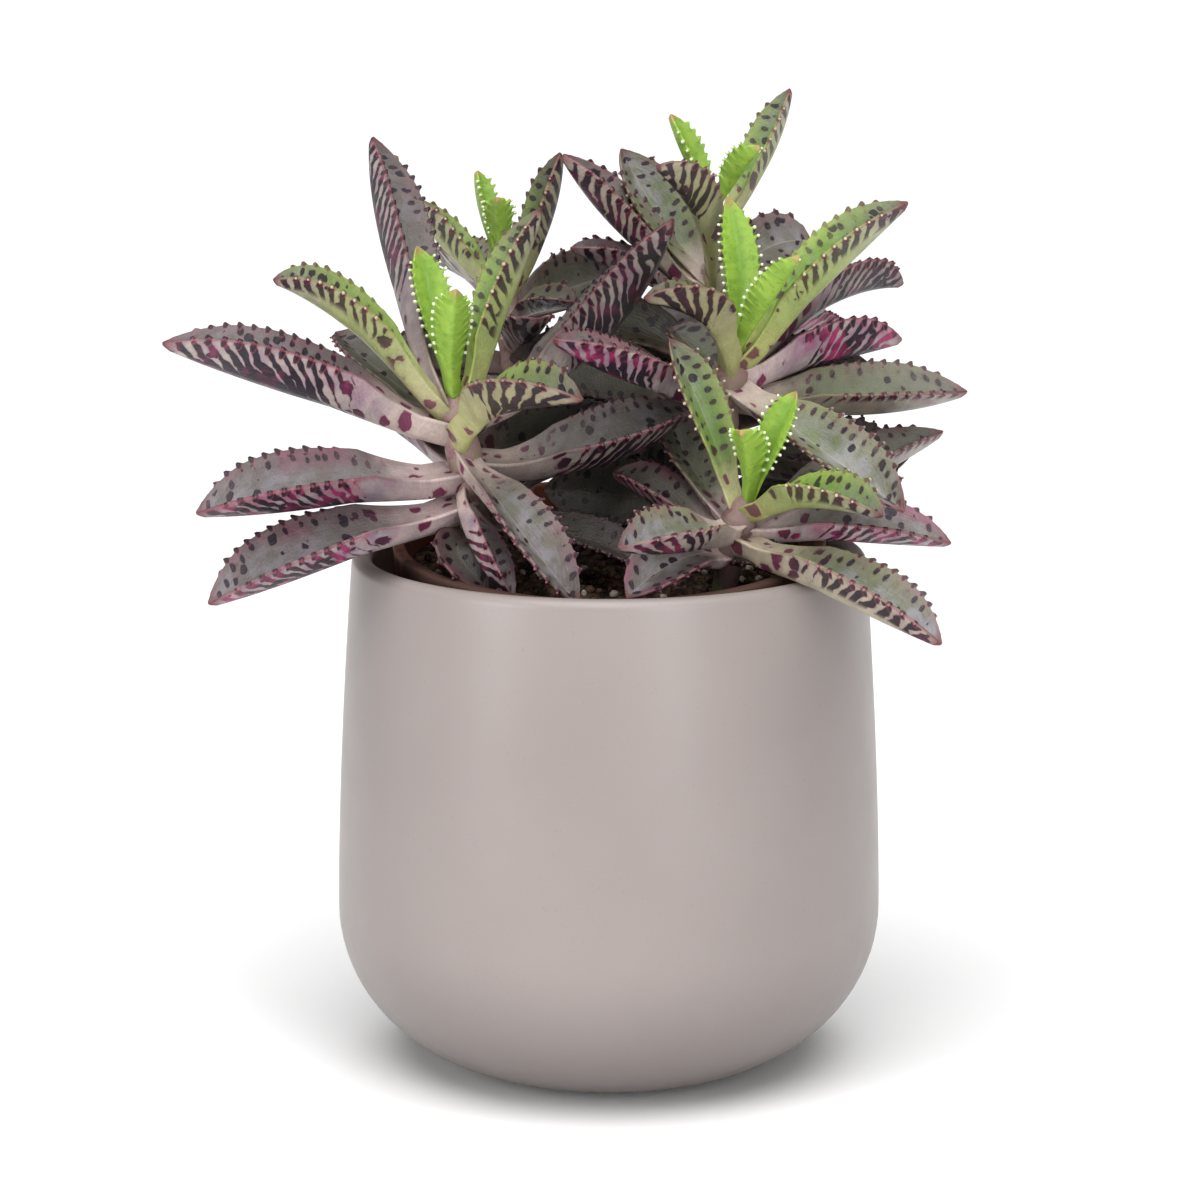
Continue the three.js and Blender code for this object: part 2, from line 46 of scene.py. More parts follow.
bl_info = {
    "name": "Potted Kalanchoe",
    "version": (1, 0, 0),
    "blender": (4, 5, 0),
    "location": "View3D > Sidebar > Kalanchoe",
    "description": "Builds a potted kalanchoe with spotted, toothed leaves, and a studio round it",
    "category": "Add Mesh",
}

MM = 0.001

# Ceramic pot, in millimetres
POT_HEIGHT = 127
POT_MOUTH_RADIUS = 62
POT_BELLY_RADIUS = 66
POT_BELLY_HEIGHT = 40
POT_FOOT_RADIUS = 22
POT_WALL = 5
POT_WALL_CURVE = 1.6
POT_SIDES = 128
POT_BOWL_STEPS = 24
POT_WALL_STEPS = 12

# Nursery pot, in millimetres from the centre of its foot
NURSERY_HEIGHT = 119.3
NURSERY_FOOT_RADIUS = 37
NURSERY_RIM_RADIUS = 52
NURSERY_WALL = 1.6
NURSERY_BAND_HEIGHT = 14
NURSERY_BAND_STEP = 1.4
NURSERY_LEAN = math.radians(6)
NURSERY_FOOT_CENTRE = (0, 8.4, 12.2)
NURSERY_DRAIN_RADIUS = 5
NURSERY_SIDES = 112
NURSERY_SLOPE = (NURSERY_RIM_RADIUS - NURSERY_BAND_STEP - NURSERY_FOOT_RADIUS) / NURSERY_HEIGHT

# Potting mix, in millimetres from the centre of the nursery pot's foot
SOIL_BOTTOM = 30
SOIL_TOP = 112.3
SOIL_LUMP = 1.6
SOIL_GAP = 0.3
SOIL_SIDES = 120
SOIL_RINGS = 40
CRUMBS = 420
CRUMB_SIZES = (0.5, 1.5)
GRAINS = 70
GRAIN_SIZES = (0.6, 1.3)
STONE_RINGS = 5
STONE_SIDES = 7
SCATTER_SEED = 11

# A turned form closes to a ring of this radius round its axis.
AXIS_RADIUS = 0.05

# Leaves, in millimetres and in shares of a leaf's length or half width
TOOTH_PITCH = 3.4
YOUNG_PITCH_SHARE = 0.65
FEWEST_TEETH = 4
FIRST_TOOTH_SHARE = 0.3
FIRST_YOUNG_TOOTH_SHARE = 0.12
TOOTH_SIZES = (0.6, 1.15)
TOOTH_CREST = 0.6
TOOTH_LIFT = 0.15
TOOTH_LEAN = 0.7
STALK_SHARE = 0.14
STALK_FORM_SHARE = 0.12
STALK_HALF_WIDTH_SHARE = 0.42
STALK_THICKNESS_SHARE = 0.65
BLADE_OUTLINE = [
    (0, 0.42), (0.12, 0.58), (0.28, 0.82), (0.45, 0.97), (0.6, 1),
    (0.76, 0.86), (0.9, 0.48), (0.97, 0.18), (1, 0.05),
]
TIP_START = 0.97
TIP_END = 1.003
TIP_RINGS = (0.982, 0.991, 0.997)
TIP_THICKNESS = 1.1
MARGIN_THICKNESS_SHARE = 0.6
UPPER_HOLLOW = 0.2
LOWER_HOLLOW = 0.3
LOWER_WIDTH_SHARE = 0.97
UNDERSIDE_CURVE = 2.4
RIM_REACH = 0.4
RIM_DROP = 0.45
INNER_POINTS = 13
RINGS_PER_TOOTH = 7
STALK_RINGS = 8
BEAD_SIDES = 8
BEAD_RINGS = 4
BEAD_SIZES = (0.8, 1.15)
BEAD_REACH = 0.35
YOUNG_BEAD_GROWTH = 1.1
LAST_BEAD_SHARE = 0.9

# Leaves vary a little in greenness and in lightness. A step between seeds keeps their marks apart.
GREEN_SPREAD = 0.08
LIGHTNESS = (0.86, 1.2)
MARK_SEED_STEP = 3.7
OTHER_HALF_STEP = 41.0
SEEDS_A_STEM = 20
YOUNG_SEED = 200
YOUNG_SEEDS_A_STEM = 10

# The sides of a leaf, as its material reads them
UPPER, RIM, LOWER = 0.0, 0.5, 1.0

# A leaf bakes to one strip of its image, and its beads to a narrow strip beside it.
LEAF_STRIP = 0.93
BEAD_STRIP_START = 0.94
BEAD_STRIP = 0.055

# What each mesh attribute of a leaf holds
LEAF_ATTRIBUTES = {
    "leaf_place": ("tooth", "edge", "side"),
    "leaf_form": ("share", "across", "nub"),
    # Its shade is painted shade, darker for leaves that lie in shade.
    "leaf_tone": ("green", "blush", "shade"),
    "leaf_more": ("yellow", "stripes", "bloom"),
    "leaf_mark": ("seed", "bead", "light"),
}

# Stems, in millimetres
STEM_RINGS = 90
STEM_SIDES = 20
STEM_END = 2.5
STEM_SMOOTHING = 12
YOUNG_LEAF_STEP = 1.8
NODE_SWELLING = 0.35
NODE_HALF_HEIGHT = 2.2
GREATEST_SWELLING = 0.9

# Studio, in metres
FLOOR_SIDE = 6.0
FLOOR_BACK = 12.0
CAMERA_PLACE = (-0.002168, -0.982326, 0.314565)
SENSOR_WIDTH = 36
LIGHTS_AIM = (0, 0, 0.12)
SUN_PLACE = (0.0, -0.42, 1.15)
SUN_SPREAD = math.radians(60)
SOFT_BOXES = (("light_left", (-0.84, -0.74, 0.4), 1.0), ("light_right", (0.48, -1.0, 0.4), 0.9))
SOFT_BOX_SIZE = (0.35, 0.8)
SOFT_BOX_SPREAD = math.radians(70)

# Fixed colours: white; the painted shade that leaves, stems and the pot's foot are darkened towards; and the
# grey of the backdrop's faint patches
WHITE = (1.0, 1.0, 1.0, 1.0)
LEAF_PAINTED_SHADE = (0.14, 0.11, 0.1, 1.0)
STEM_PAINTED_SHADE = (0.06, 0.04, 0.035, 1.0)
POT_FOOT_PAINTED_SHADE = (0.1, 0.08, 0.075, 1.0)
BACKDROP_SHADE = (0.9, 0.9, 0.9, 1.0)

# What the leaves of one look share: green, blush, painted shade, yellow stalk, stripes and waxy bloom,
# each from 0 to 1. Painted shade darkens a leaf as if it lay in shade, most for the leaves deep in the plant.
LOOKS = {
    "violet": (0.0, 0.35, 0.0, 0.1, 1.0, 0.9),
    "sage": (0.3, 0.15, 0.0, 0.1, 0.9, 0.9),
    "green": (0.8, 0.1, 0.05, 0.6, 0.28, 0.4),
    "fresh": (1.0, 0.05, 0.0, 0.9, 0.3, 0.3),
    "khaki": (0.5, 0.1, 0.16, 0.8, 1.0, 0.1),
    "umber": (0.12, 0.2, 0.0, 0.3, 0.85, 0.7),
    "rose": (0.0, 1.0, 0.0, 0.0, 0.9, 0.8),
    "rose_dark": (0.0, 1.0, 0.5, 0.0, 0.5, 0.2),
    "blush_sage": (0.15, 0.5, 0.0, 0.1, 0.8, 1.0),
    "mauve": (0.1, 0.6, 0.0, 0.0, 0.2, 0.7),
    "olive": (0.15, 0.15, 0.0, 0.3, 0.4, 1.0),
    "plain": (0.18, 0.4, 0.2, 0.1, 0.15, 0.2),
    "ink": (0.0, 0.3, 0.35, 0.1, 1.0, 1.0),
    "dim": (0.2, 0.35, 0.45, 0.0, 0.7, 0.3),
    "dark": (0.1, 0.3, 0.88, 0.0, 0.4, 0.2),
    "young": (1.0, 0.0, 0.0, 0.6, 0.25, 0.0),
}

# Each leafy stem runs up through the points of its path. A leaf starts on it at a height and ends at tip.
# The leaf's middle stands off the straight line by bow. width is half its widest place, fold is how steeply
# its halves rise, and face is the way that its upper side looks. Lengths are in millimetres.
STEMS = {
    "left": {
        "path": [(-28, -14, 104), (-30, -20, 128), (-33, -24, 148), (-35, -24, 160), (-36, -24, 167)],
        "radius": (3.6, 2.9),
        "leaves": [
            (161, (0, -1, 0), (-103, -34, 182), 8.5, 1, (0, -0.1, 1), "violet"),
            (163, (-2, -1, 7), (-77, -36, 197), 6.5, 0.8, (0, -0.2, 1), "green"),
            (164, (-4, 4, 2), (-56, 4, 226), 7.4, 1, (0.9, -0.4, 0.4), "violet"),
            (165, (0, -2, 1), (-16, -24, 212), 6.2, 0.8, (-1, -0.3, 0.4), "fresh"),
            (158, (-7, -1, 4), (-6, -54, 172), 7.5, 0.9, (0, -0.2, 1), "khaki", 0.3),
            (156, (-2, -6, 3), (-7, -43, 122), 7, 0.7, (0.7, -0.8, 0.6), "blush_sage"),
            (147, (-3, -3, 1), (-22, -40, 123), 5, 0.8, (1, -0.4, 0.4), "violet"),
            (151, (-1, -1, 0), (-95, -44, 144), 9.5, 0.8, (0, -0.3, 1), "rose"),
            (144, (-2, -1, 0), (-92, -50, 124), 8.8, 0.8, (0, -0.3, 1), "rose"),
            (160, (-1, 4, -1), (-66, 14, 178), 9, 0.7, (0, -0.2, 1), "dim"),
            (151, (1, 1, -1), (-62, 8, 166), 6.5, 0.6, (0, 0, 1), "rose"),
            (134, (-6, -3, 4), (-28, -35, 124), 6, 0.4, (0.4, -0.9, 1), "rose_dark"),
            (164, (5, 3, -6), (15, -8, 208), 8.5, 0.9, (-0.4, 0.1, 1), "ink"),
            (154, (3, -2, -5), (20, -12, 164), 9, 0.8, (0, -0.3, 1), "ink"),
            (138, (1, 3, 1), (10, -30, 128), 7, 0.6, (0, -0.3, 1), "dark"),
            (156, (0, 3, 3), (-50, 38, 158), 8, 0.7, (0, 0, 1), "dim"),
            (141, (0, 3, 3), (-2, 2, 149), 7.5, 0.6, (0, -0.3, 1), "dark"),
            (154, (0, 1, 0), (-2, 6, 157), 9, 0.4, (0, -1, 0.4), "dark"),
        ],
        "heart": [
            ((0, 2, 1), (-45, -14, 202), 3.8, 0.6, (0.3, -1, 0.5)),
            ((-1, 0, 1), (-35, -38, 195), 3.6, 0.7, (0, 1, 0.4)),
        ],
    },
    "back_left": {
        "path": [(-19, 12, 104), (-22, 22, 150), (-25, 27, 180), (-26, 29, 192)],
        "radius": (3.2, 2.4),
        "leaves": [
            (187, (-1, 2, -1), (-48, 28, 209), 5, 0.8, (0, -0.1, 1), "green"),
            (186, (2, 2, -1), (-12, 28, 220), 5, 0.8, (-1, -0.4, 0.4), "khaki"),
            (175, (0, 1, -2), (-17, 2, 183), 5.5, 0.6, (0, 0, 1), "blush_sage"),
            (181, (-1, 1, 1), (-8, 17, 185), 5, 0.6, (0, -0.3, 1), "dim"),
            (180, (0, 2, 1), (2, 52, 187), 8, 0.5, (0, -1, 0.6), "dim"),
            (184, (0, 2, 3), (-46, 66, 190), 7.5, 0.7, (0, 0, 1), "sage"),
            (166, (0, 2, 4), (-66, 46, 160), 7.5, 0.7, (0, 0, 1), "violet"),
            (148, (0, 2, 4), (12, 12, 148), 8, 0.5, (0, -0.6, 1), "dark"),
            (157, (0, 3, -1), (1, 18, 153), 8, 0.5, (0, -0.6, 1), "dark"),
            (168, (0, 0, 2), (-50, 12, 170), 7, 0.5, (0, -0.8, 0.6), "dark"),
            (150, (0, 0, 1), (-42, 6, 146), 7, 0.5, (0, -1, 0.5), "dark"),
        ],
        "heart": [
            ((-1, 1, 1), (-32, 34, 215), 2.8, 0.7, (1, -0.6, 0.4)),
            ((0, 0, 1), (-27, 20, 210), 2.8, 0.7, (0, 1, 0.4)),
        ],
    },
    "top": {
        "path": [(21, 13, 104), (24, 20, 150), (26, 24, 184), (26, 24, 207)],
        "radius": (3.4, 2.4),
        "leaves": [
            (187, (-1, 3, -3), (-11, 24, 220), 6.5, 0.9, (0, -0.2, 1), "umber"),
            (189, (-1, 2, -2), (3, 38, 220), 7, 0.7, (0.5, -1, 0.5), "sage"),
            (186, (4, -2, 4), (11, -4, 220), 5.2, 0.8, (0.2, 0.6, 1), "khaki", 0.32),
            (203, (2, 2, -1), (44, 34, 235), 4.8, 0.8, (-1, -0.6, 0.4), "green"),
            (182, (0, 7, 1), (-9, 18, 198), 5.5, 0.7, (0, -0.2, 1), "violet"),
            (186, (0, 2, 4), (50, 40, 197), 7.5, 0.4, (0, -1, 0.8), "mauve"),
            (192, (0, 3, 3), (30, 76, 190), 7.5, 0.7, (0, 0, 1), "sage"),
            (172, (0, 4, 4), (6, 78, 172), 8, 0.7, (0, 0, 1), "violet"),
            (178, (1, 2, 2), (58, 68, 167), 8, 0.7, (0, 0, 1), "rose"),
            (158, (0, 1, 3), (-24, 10, 172), 8.5, 0.4, (0, -1, 0.5), "dark"),
            (170, (0, 3, 1), (-10, 29, 179), 8.5, 0.5, (0, -0.6, 1), "dark"),
            (162, (0, 3, 0), (-12, 42, 168), 8.5, 0.4, (0, -1, 0.5), "dark"),
            (144, (0, 3, 0), (-12, 34, 146), 8.5, 0.4, (0, -1, 0.4), "dark"),
        ],
        "heart": [
            ((0, 0, -1), (15, 20, 230), 3.2, 0.7, (1, -0.6, 0.4)),
            ((0, 0, 1), (36, 14, 223), 3.2, 0.7, (-0.6, 1, 0.6)),
        ],
    },
    "right": {
        "path": [(25, 1, 104), (27, -2, 146), (28, -4, 164), (29, -4, 174)],
        "radius": (3.6, 2.8),
        "leaves": [
            (172, (-1, 0, 1), (70, -10, 212), 7, 0.9, (-0.4, -0.3, 1), "fresh"),
            (170, (6, -2, 5), (8, -22, 191), 6, 0.8, (0, 0, 1), "khaki", 0.3),
            (169, (0, -1, 0), (68, -41, 144), 7.5, 0.8, (0, -0.6, 1), "sage"),
            (167, (0, 2, -3), (86, 4, 165), 9, 0.7, (0, -0.3, 1), "plain"),
            (170, (0, 2, 1), (71, 16, 176), 7.5, 0.8, (0, 0.3, 1), "rose"),
            (172, (2, 5, 7), (72, 28, 188), 7.5, 0.7, (0, 0.2, 1), "ink"),
            (170, (1, 2, 3), (53, 30, 182), 5, 0.6, (0, 0, 1), "dark"),
            (165, (0, -2, -1), (-13, -34, 183), 6.5, 0.8, (0, -0.2, 1), "rose"),
            (166, (0, 0, 1), (15, 8, 180), 6.5, 0.6, (0, -0.2, 1), "dim"),
            (138, (0, 2, 0), (-16, 16, 139), 9, 0.4, (0, -1, 0.5), "dark"),
            (150, (0, 1, -1), (6, 3, 146), 7, 0.4, (0, -1, 0.5), "dark"),
            (159, (0, 3, 2), (66, 26, 166), 9, 0.4, (0, -1, 0.6), "dark", 0.04),
            (150, (0, 2, -1), (74, 18, 148), 9, 0.4, (0, -1, 0.6), "dark", 0.04),
            (138, (0, 2, 1), (58, 6, 139), 8, 0.4, (0, -1, 0.6), "dark", 0.04),
        ],
        "heart": [
            ((3, 0, -1), (28, 3, 212), 3.8, 0.6, (0, -1, 0.4)),
            ((0, 0, 1), (44, -22, 201), 3.4, 0.7, (-0.6, 1, 0.8)),
        ],
    },
    "lower_right": {
        "path": [(26, -18, 104), (27, -22, 120), (29, -26, 135), (32, -27, 143)],
        "radius": (3.4, 2.6),
        "leaves": [
            (140, (0, 0, 2), (14, -27, 182), 5, 0.8, (0.5, -1, 0.5), "green"),
            (142, (-1, -2, 4), (62, -58, 146), 6, 0.8, (0, -0.2, 1), "fresh"),
            (139, (2, -1, -1), (2, -54, 138), 7.5, 0.8, (0, -0.3, 1), "blush_sage"),
            (136, (0, -3, 1.2), (75, -66, 118), 8, 0.8, (0, 0, 1), "olive"),
            (139, (1, 4, -1), (80, 0, 156), 7, 0.7, (0, -0.2, 1), "plain"),
            (138, (0, 2, 1), (80, -28, 134), 7.5, 0.7, (0, -0.3, 1), "rose"),
            (131, (0, -2, 4), (4, -43, 124), 7, 0.5, (0, -0.7, 1), "rose"),
            (129, (-1, 0, 2), (38, -30, 130), 6, 0.5, (0, -0.7, 1), "dark"),
            (138, (-2, 0, -1), (14, 0, 162), 5.5, 0.6, (0, -0.2, 1), "dim"),
            (134, (-2, 2, 2), (1, -12, 148), 6.5, 0.6, (0, -0.2, 1), "rose_dark"),
        ],
        "heart": [
            ((0, -1, 1), (43, -36, 171), 3.4, 0.6, (-0.4, -1, 0.5)),
            ((1, 0, 2), (30, -42, 163), 3.4, 0.7, (0.3, 1, 0.4)),
        ],
    },
}


def linear(red, green, blue):
    """The linear colour of an 8-bit display colour."""
    def part(value):
        value /= 255
        return value / 12.92 if value <= 0.04045 else ((value + 0.055) / 1.055) ** 2.4
    return (part(red), part(green), part(blue), 1.0)


def colour_property(name, description, colour):
    """A colour setting, whose default is an 8-bit display colour."""
    return bpy.props.FloatVectorProperty(
        name=name, description=description, default=linear(*colour), size=4, min=0, max=1,
        subtype="COLOR",
    )


class LeafSettings(bpy.types.PropertyGroup):
    """Measures of the teeth, and colours of the older leaves and the stems"""
    tooth_pitch: bpy.props.FloatProperty(
        name="Tooth pitch", description="Distance between teeth along a margin", default=TOOTH_PITCH * MM,
        min=0.002, max=0.01, unit="LENGTH",
    )
    tooth_reach: bpy.props.FloatProperty(
        name="Tooth reach", description="How far a tooth stands out from the margin", default=0.0008, min=0,
        max=0.003, unit="LENGTH",
    )
    bead_radius: bpy.props.FloatProperty(
        name="Bead radius", description="Radius of the bud on each tooth", default=0.0004, min=0.0001,
        max=0.002, unit="LENGTH",
    )
    sage: colour_property("Sage", "Upper side of the older leaves", (100, 93, 89))
    green: colour_property("Green", "Upper side of the greener leaves", (104, 140, 50))
    bloom: colour_property("Bloom", "Waxy bloom in the trough of a leaf", (142, 138, 148))
    mauve: colour_property("Mauve", "Tint of the upper side towards the margins", (108, 78, 90))
    cream: colour_property("Cream", "Underside between the stripes", (166, 155, 152))
    lilac: colour_property("Lilac", "Cooler parts of the underside", (140, 121, 137))
    aubergine: colour_property("Aubergine", "Stripes and spots", (24, 17, 30))
    magenta: colour_property("Magenta", "Brighter marks and blush near the margins", (150, 42, 92))
    rust: colour_property("Rust", "Thin line along the margin", (156, 84, 92))
    stalk: colour_property("Stalk", "Pale stalks", (188, 168, 166))
    ochre: colour_property("Ochre", "Yellowish stalks", (176, 180, 106))
    khaki: colour_property("Khaki", "Underside of the brownish leaves", (152, 142, 88))
    pale: colour_property("Pale green", "Underside and margins of the greener leaves", (154, 172, 90))
    maroon: colour_property("Maroon", "Blotches near the stalk", (104, 44, 72))
    wine: colour_property("Wine", "Redder stripes of the blushed leaves", (112, 26, 68))
    thorn: colour_property("Thorn", "Tips of the leaves", (104, 58, 62))
    bark: colour_property("Stem", "Stems between the leaves", (138, 112, 106))
    bud: colour_property("Bud", "Buds on the teeth of the greener leaves", (196, 192, 160))


class YoungLeafSettings(bpy.types.PropertyGroup):
    """Colours of the young leaves"""
    lime: colour_property("Lime", "Young leaves", (150, 184, 74))
    deep: colour_property("Deep green", "Flecks and shaded parts of the young leaves", (100, 140, 46))
    bead: colour_property("Bead", "Buds on the teeth of the young leaves", (226, 232, 200))
    tip: colour_property("Tip", "Tips of the young leaves", (176, 120, 96))


class PotSettings(bpy.types.PropertyGroup):
    """Colours of the two pots and the potting mix"""
    ceramic: colour_property("Ceramic", "Body of the outer pot", (142, 133, 130))
    ceramic_dark: colour_property("Ceramic fleck", "Darker flecks in the outer pot", (122, 112, 109))
    terracotta: colour_property("Terracotta", "Nursery pot", (126, 70, 50))
    # The soil-mark colour of the nursery pot, used also as painted shade
    grime_and_shade: colour_property("Grime", "Soil marks on the nursery pot", (46, 31, 25))
    peat: colour_property("Peat", "Potting mix", (28, 20, 16))
    bark: colour_property("Bark", "Lighter crumbs of the potting mix", (100, 77, 60))
    perlite: colour_property("Perlite", "White grains in the potting mix", (176, 172, 162))


class StudioSettings(bpy.types.PropertyGroup):
    """Light and camera"""
    backdrop: colour_property("Backdrop", "Floor and surroundings", (255, 255, 255))
    ambient: bpy.props.FloatProperty(
        name="Ambient", description="Strength of the light from all round", default=0.09, min=0, max=3,
    )
    overhead: bpy.props.FloatProperty(
        name="Overhead", description="Strength of the soft light from above", default=3.5, min=0, max=20,
    )
    softbox: bpy.props.FloatProperty(
        name="Soft boxes", description="Power of each of the tall soft boxes", default=1.1, min=0, max=100,
        unit="POWER",
    )
    elevation: bpy.props.FloatProperty(
        name="Elevation", description="Camera angle above the horizon", default=math.radians(11.5),
        min=0, max=1.5, subtype="ANGLE",
    )
    lens: bpy.props.FloatProperty(
        name="Lens", description="Focal length of the camera in millimetres", default=124.5, min=20, max=300,
    )


class Value:
    """An output of a node. Sums and products of values add Math nodes to its tree."""

    def __init__(self, graph, socket):
        self.graph, self.socket = graph, socket

    def math(self, operation, *others):
        return self.graph.math(operation, self, *others)

    def __add__(self, other):
        return self.math("ADD", other)

    def __sub__(self, other):
        return self.math("SUBTRACT", other)

    def __rsub__(self, other):
        return self.graph.math("SUBTRACT", other, self)

    def __mul__(self, other):
        return self.math("MULTIPLY", other)

    def __abs__(self):
        return self.math("ABSOLUTE")

    def most(self, other):
        """The larger of two values."""
        return self.math("MAXIMUM", other)

    def ramp(self, low, high):
        """0 below low, 1 above high, smooth between them."""
        given = {"Value": self, "From Min": low, "From Max": high}
        return self.graph.value("Result", "ShaderNodeMapRange", given, interpolation_type="SMOOTHSTEP")

    def fall(self, low, high):
        """1 below low, 0 above high, smooth between them."""
        return 1.0 - self.ramp(low, high)

    def noise(self, scale, detail=2.0, roughness=0.5):
        """Noise from 0 to 1 at the place that this value is."""
        return self.graph.value(0, "ShaderNodeTexNoise", {
            "Vector": self, "Scale": scale, "Detail": detail, "Roughness": roughness,
        })

    def swing(self, scale, size):
        """Noise that swings as far below zero as above it."""
        return (self.noise(scale) - 0.5) * size

    def cells(self, scale, scatter):
        """Distance to the nearest of scattered points, and that point's own number from 0 to 1."""
        given = {"Vector": self, "Scale": scale, "Randomness": scatter}
        node = self.graph.values(self.graph.node("ShaderNodeTexVoronoi", given))
        return node.distance, node.color.parts()[0]

    def parts(self):
        """The x, y and z of a vector, or the red, green and blue of a colour."""
        node = self.graph.node("ShaderNodeSeparateXYZ", {0: self})
        return [Value(self.graph, socket) for socket in node.outputs]


class Graph:
    """Adds nodes to a node tree. A Value, a number, a vector or a colour can feed a socket."""

    def __init__(self, tree):
        self.tree = tree

    def feed(self, socket, value):
        """Links a value to a socket, or sets the socket to a constant."""
        if isinstance(value, Value):
            self.tree.links.new(value.socket, socket)
        else:
            socket.default_value = value

    def node(self, kind, values=None, **settings):
        """A new node with its settings made and its inputs fed."""
        node = self.tree.nodes.new(kind)
        for key, value in settings.items():
            setattr(node, key, value)
        for key, value in (values or {}).items():
            self.feed(node.inputs[key], value)
        return node

    def value(self, output, kind, values=None, **settings):
        """One output of a new node."""
        return Value(self, self.node(kind, values, **settings).outputs[output])

    def values(self, node):
        """The outputs of a node, by their names in small letters."""
        return SimpleNamespace(**{socket.name.lower(): Value(self, socket) for socket in node.outputs})

    def math(self, operation, *values):
        return self.value(0, "ShaderNodeMath", dict(enumerate(values)), operation=operation)

    def mix(self, share, first, second, blend="MIX"):
        given = {0: share, 6: first, 7: second}
        return self.value(2, "ShaderNodeMix", given, data_type="RGBA", blend_type=blend)

    def coats(self, colour, *coats):
        """A colour with coats laid over it in turn, each a colour and the share that it covers."""
        for coat, share in coats:
            colour = self.mix(share, colour, coat)
        return colour

    def vector(self, x, y, z):
        return self.value(0, "ShaderNodeCombineXYZ", {0: x, 1: y, 2: z})

    def attribute(self, name):
        """A vector that the mesh holds for each of its points."""
        return self.value("Vector", "ShaderNodeAttribute", attribute_type="GEOMETRY", attribute_name=name)

    def place(self):
        """The place of a point of the object, in metres."""
        return self.value("Object", "ShaderNodeTexCoord")

    def surface(self, colour, roughness, height, strength, distance):
        """Gives the shader its colour, its roughness and a bump of a height."""
        given = {"Strength": strength, "Distance": distance, "Height": height}
        bump = self.value(0, "ShaderNodeBump", given)
        for name, value in (("Base Color", colour), ("Roughness", roughness), ("Normal", bump)):
            self.feed(self.shader.inputs[name], value)


def use_group(graph, name, build, outputs, inputs):
    """The outputs of a node group, which build fills when it is first used.

    The input Place is a vector. Every other input and output is a number.
    """
    tree = bpy.data.node_groups.get(name)
    if tree is None:
        tree = bpy.data.node_groups.new(name, "ShaderNodeTree")
        for label in inputs:
            kind = "NodeSocketVector" if label == "Place" else "NodeSocketFloat"
            tree.interface.new_socket(label, in_out="INPUT", socket_type=kind)
        for label in outputs:
            tree.interface.new_socket(label, in_out="OUTPUT", socket_type="NodeSocketFloat")
        inside = Graph(tree)
        given = inside.values(tree.nodes.new("NodeGroupInput"))
        inside.node("NodeGroupOutput", build(inside, given))
    return graph.values(graph.node("ShaderNodeGroup", inputs, node_tree=tree))


def leaf_place(graph, given):
    """Where a point lies on a leaf, in millimetres along and across it, apart from every other leaf."""
    return graph.vector(given.tooth * TOOTH_PITCH, given.edge, given.seed)


def tooth_stripes(graph, given):
    """Dark bands that run from the teeth over the underside and slant towards the stalk.

    Near the stalk they give way to separate blotches.
    """
    place = leaf_place(graph, given)
    wander = (place.swing(0.1, 2.2) + place.swing(0.3, 0.6)) * (given.edge.ramp(0.0, 4.0) * 0.75 + 0.25)
    slanted = given.tooth + given.edge * 0.3 + wander
    offset = abs((slanted + 0.9).math("FRACT") - 0.5)
    elsewhere = graph.value(0, "ShaderNodeVectorMath", {0: place, 1: (31.0, 7.0, 3.0)})
    half = elsewhere.swing(0.24, 0.8) + 0.25 + given.edge.ramp(2.0, 7.5) * 0.22
    bands = (given.share + place.swing(0.2, 0.2)).ramp(0.28, 0.5)
    outside = offset - (half - (1.0 - bands) * 0.5)
    longer = graph.vector(given.tooth * (0.7 * TOOTH_PITCH), given.edge, given.seed)
    distance, chance = longer.cells(0.3, 1.0)
    blotch = distance + place.swing(0.6, 0.5) - (chance.ramp(0.2, 0.8) * 0.46 - bands * 0.15)
    return {
        "Mask": outside.fall(-0.04, 0.04).most(blotch.fall(-0.03, 0.03)),
        "Halo": outside.fall(0.0, 0.16).most(blotch.fall(-0.03, 0.14)),
    }


def leaf_spots(graph, given):
    """An oval dark spot inside some of the teeth, and rounder spots scattered over the blade."""
    place = leaf_place(graph, given)
    rough = place.swing(0.7, 1.0)
    step = given.tooth + 0.9
    number = graph.vector(step.math("FLOOR"), given.seed, 0.0)
    lot = graph.value("Color", "ShaderNodeTexWhiteNoise", {"Vector": number}).parts()
    offset = step.math("FRACT") - (lot[0] * 0.3 + 0.35)
    across = (offset * TOOTH_PITCH).math("DIVIDE", 0.75)
    inward = given.edge - (lot[1] * 1.6 + 1.5)
    reach = (across * across + inward * inward).math("SQRT")
    reach = reach + rough * 1.1 + lot[2].ramp(0.55, 1.0) * 0.9
    past_base = given.share.ramp(0.2, 0.36)
    distance, chance = place.cells(0.29, 0.9)
    size = chance.ramp(0.3, 0.85) * 0.35 + given.share.fall(0.25, 0.5) * 0.08
    far = distance + rough * 0.25 - size
    inside = given.edge.ramp(0.8, 1.6)
    return {
        "Mask": (reach.fall(0.8, 1.05) * past_base).most(far.fall(-0.03, 0.03) * inside),
        "Halo": (reach.fall(0.7, 1.6) * past_base).most(far.fall(-0.06, 0.12) * inside),
    }


def marks(graph, at, name, build):
    """The mask and halo of one of the groups of marks above, for the leaf values of a material."""
    given = {"Tooth": at.tooth, "Edge": at.edge, "Share": at.share, "Seed": at.seed}
    return use_group(graph, name, build, ("Mask", "Halo"), given)


def fine_relief(graph, given):
    """Small pores and soft unevenness for bumps and roughness."""
    pores = given.place.noise(given.scale, 3.0, 0.6)
    swell = given.place.noise(given.scale * 0.12)
    return {"Height": pores * 0.35 + swell * 0.65, "Fine": pores, "Soft": swell}


def relief_at(place, scale):
    """The height, fine and soft parts of the relief at a place."""
    given = {"Place": place, "Scale": scale}
    return use_group(place.graph, "Fine relief", fine_relief, ("Height", "Fine", "Soft"), given)


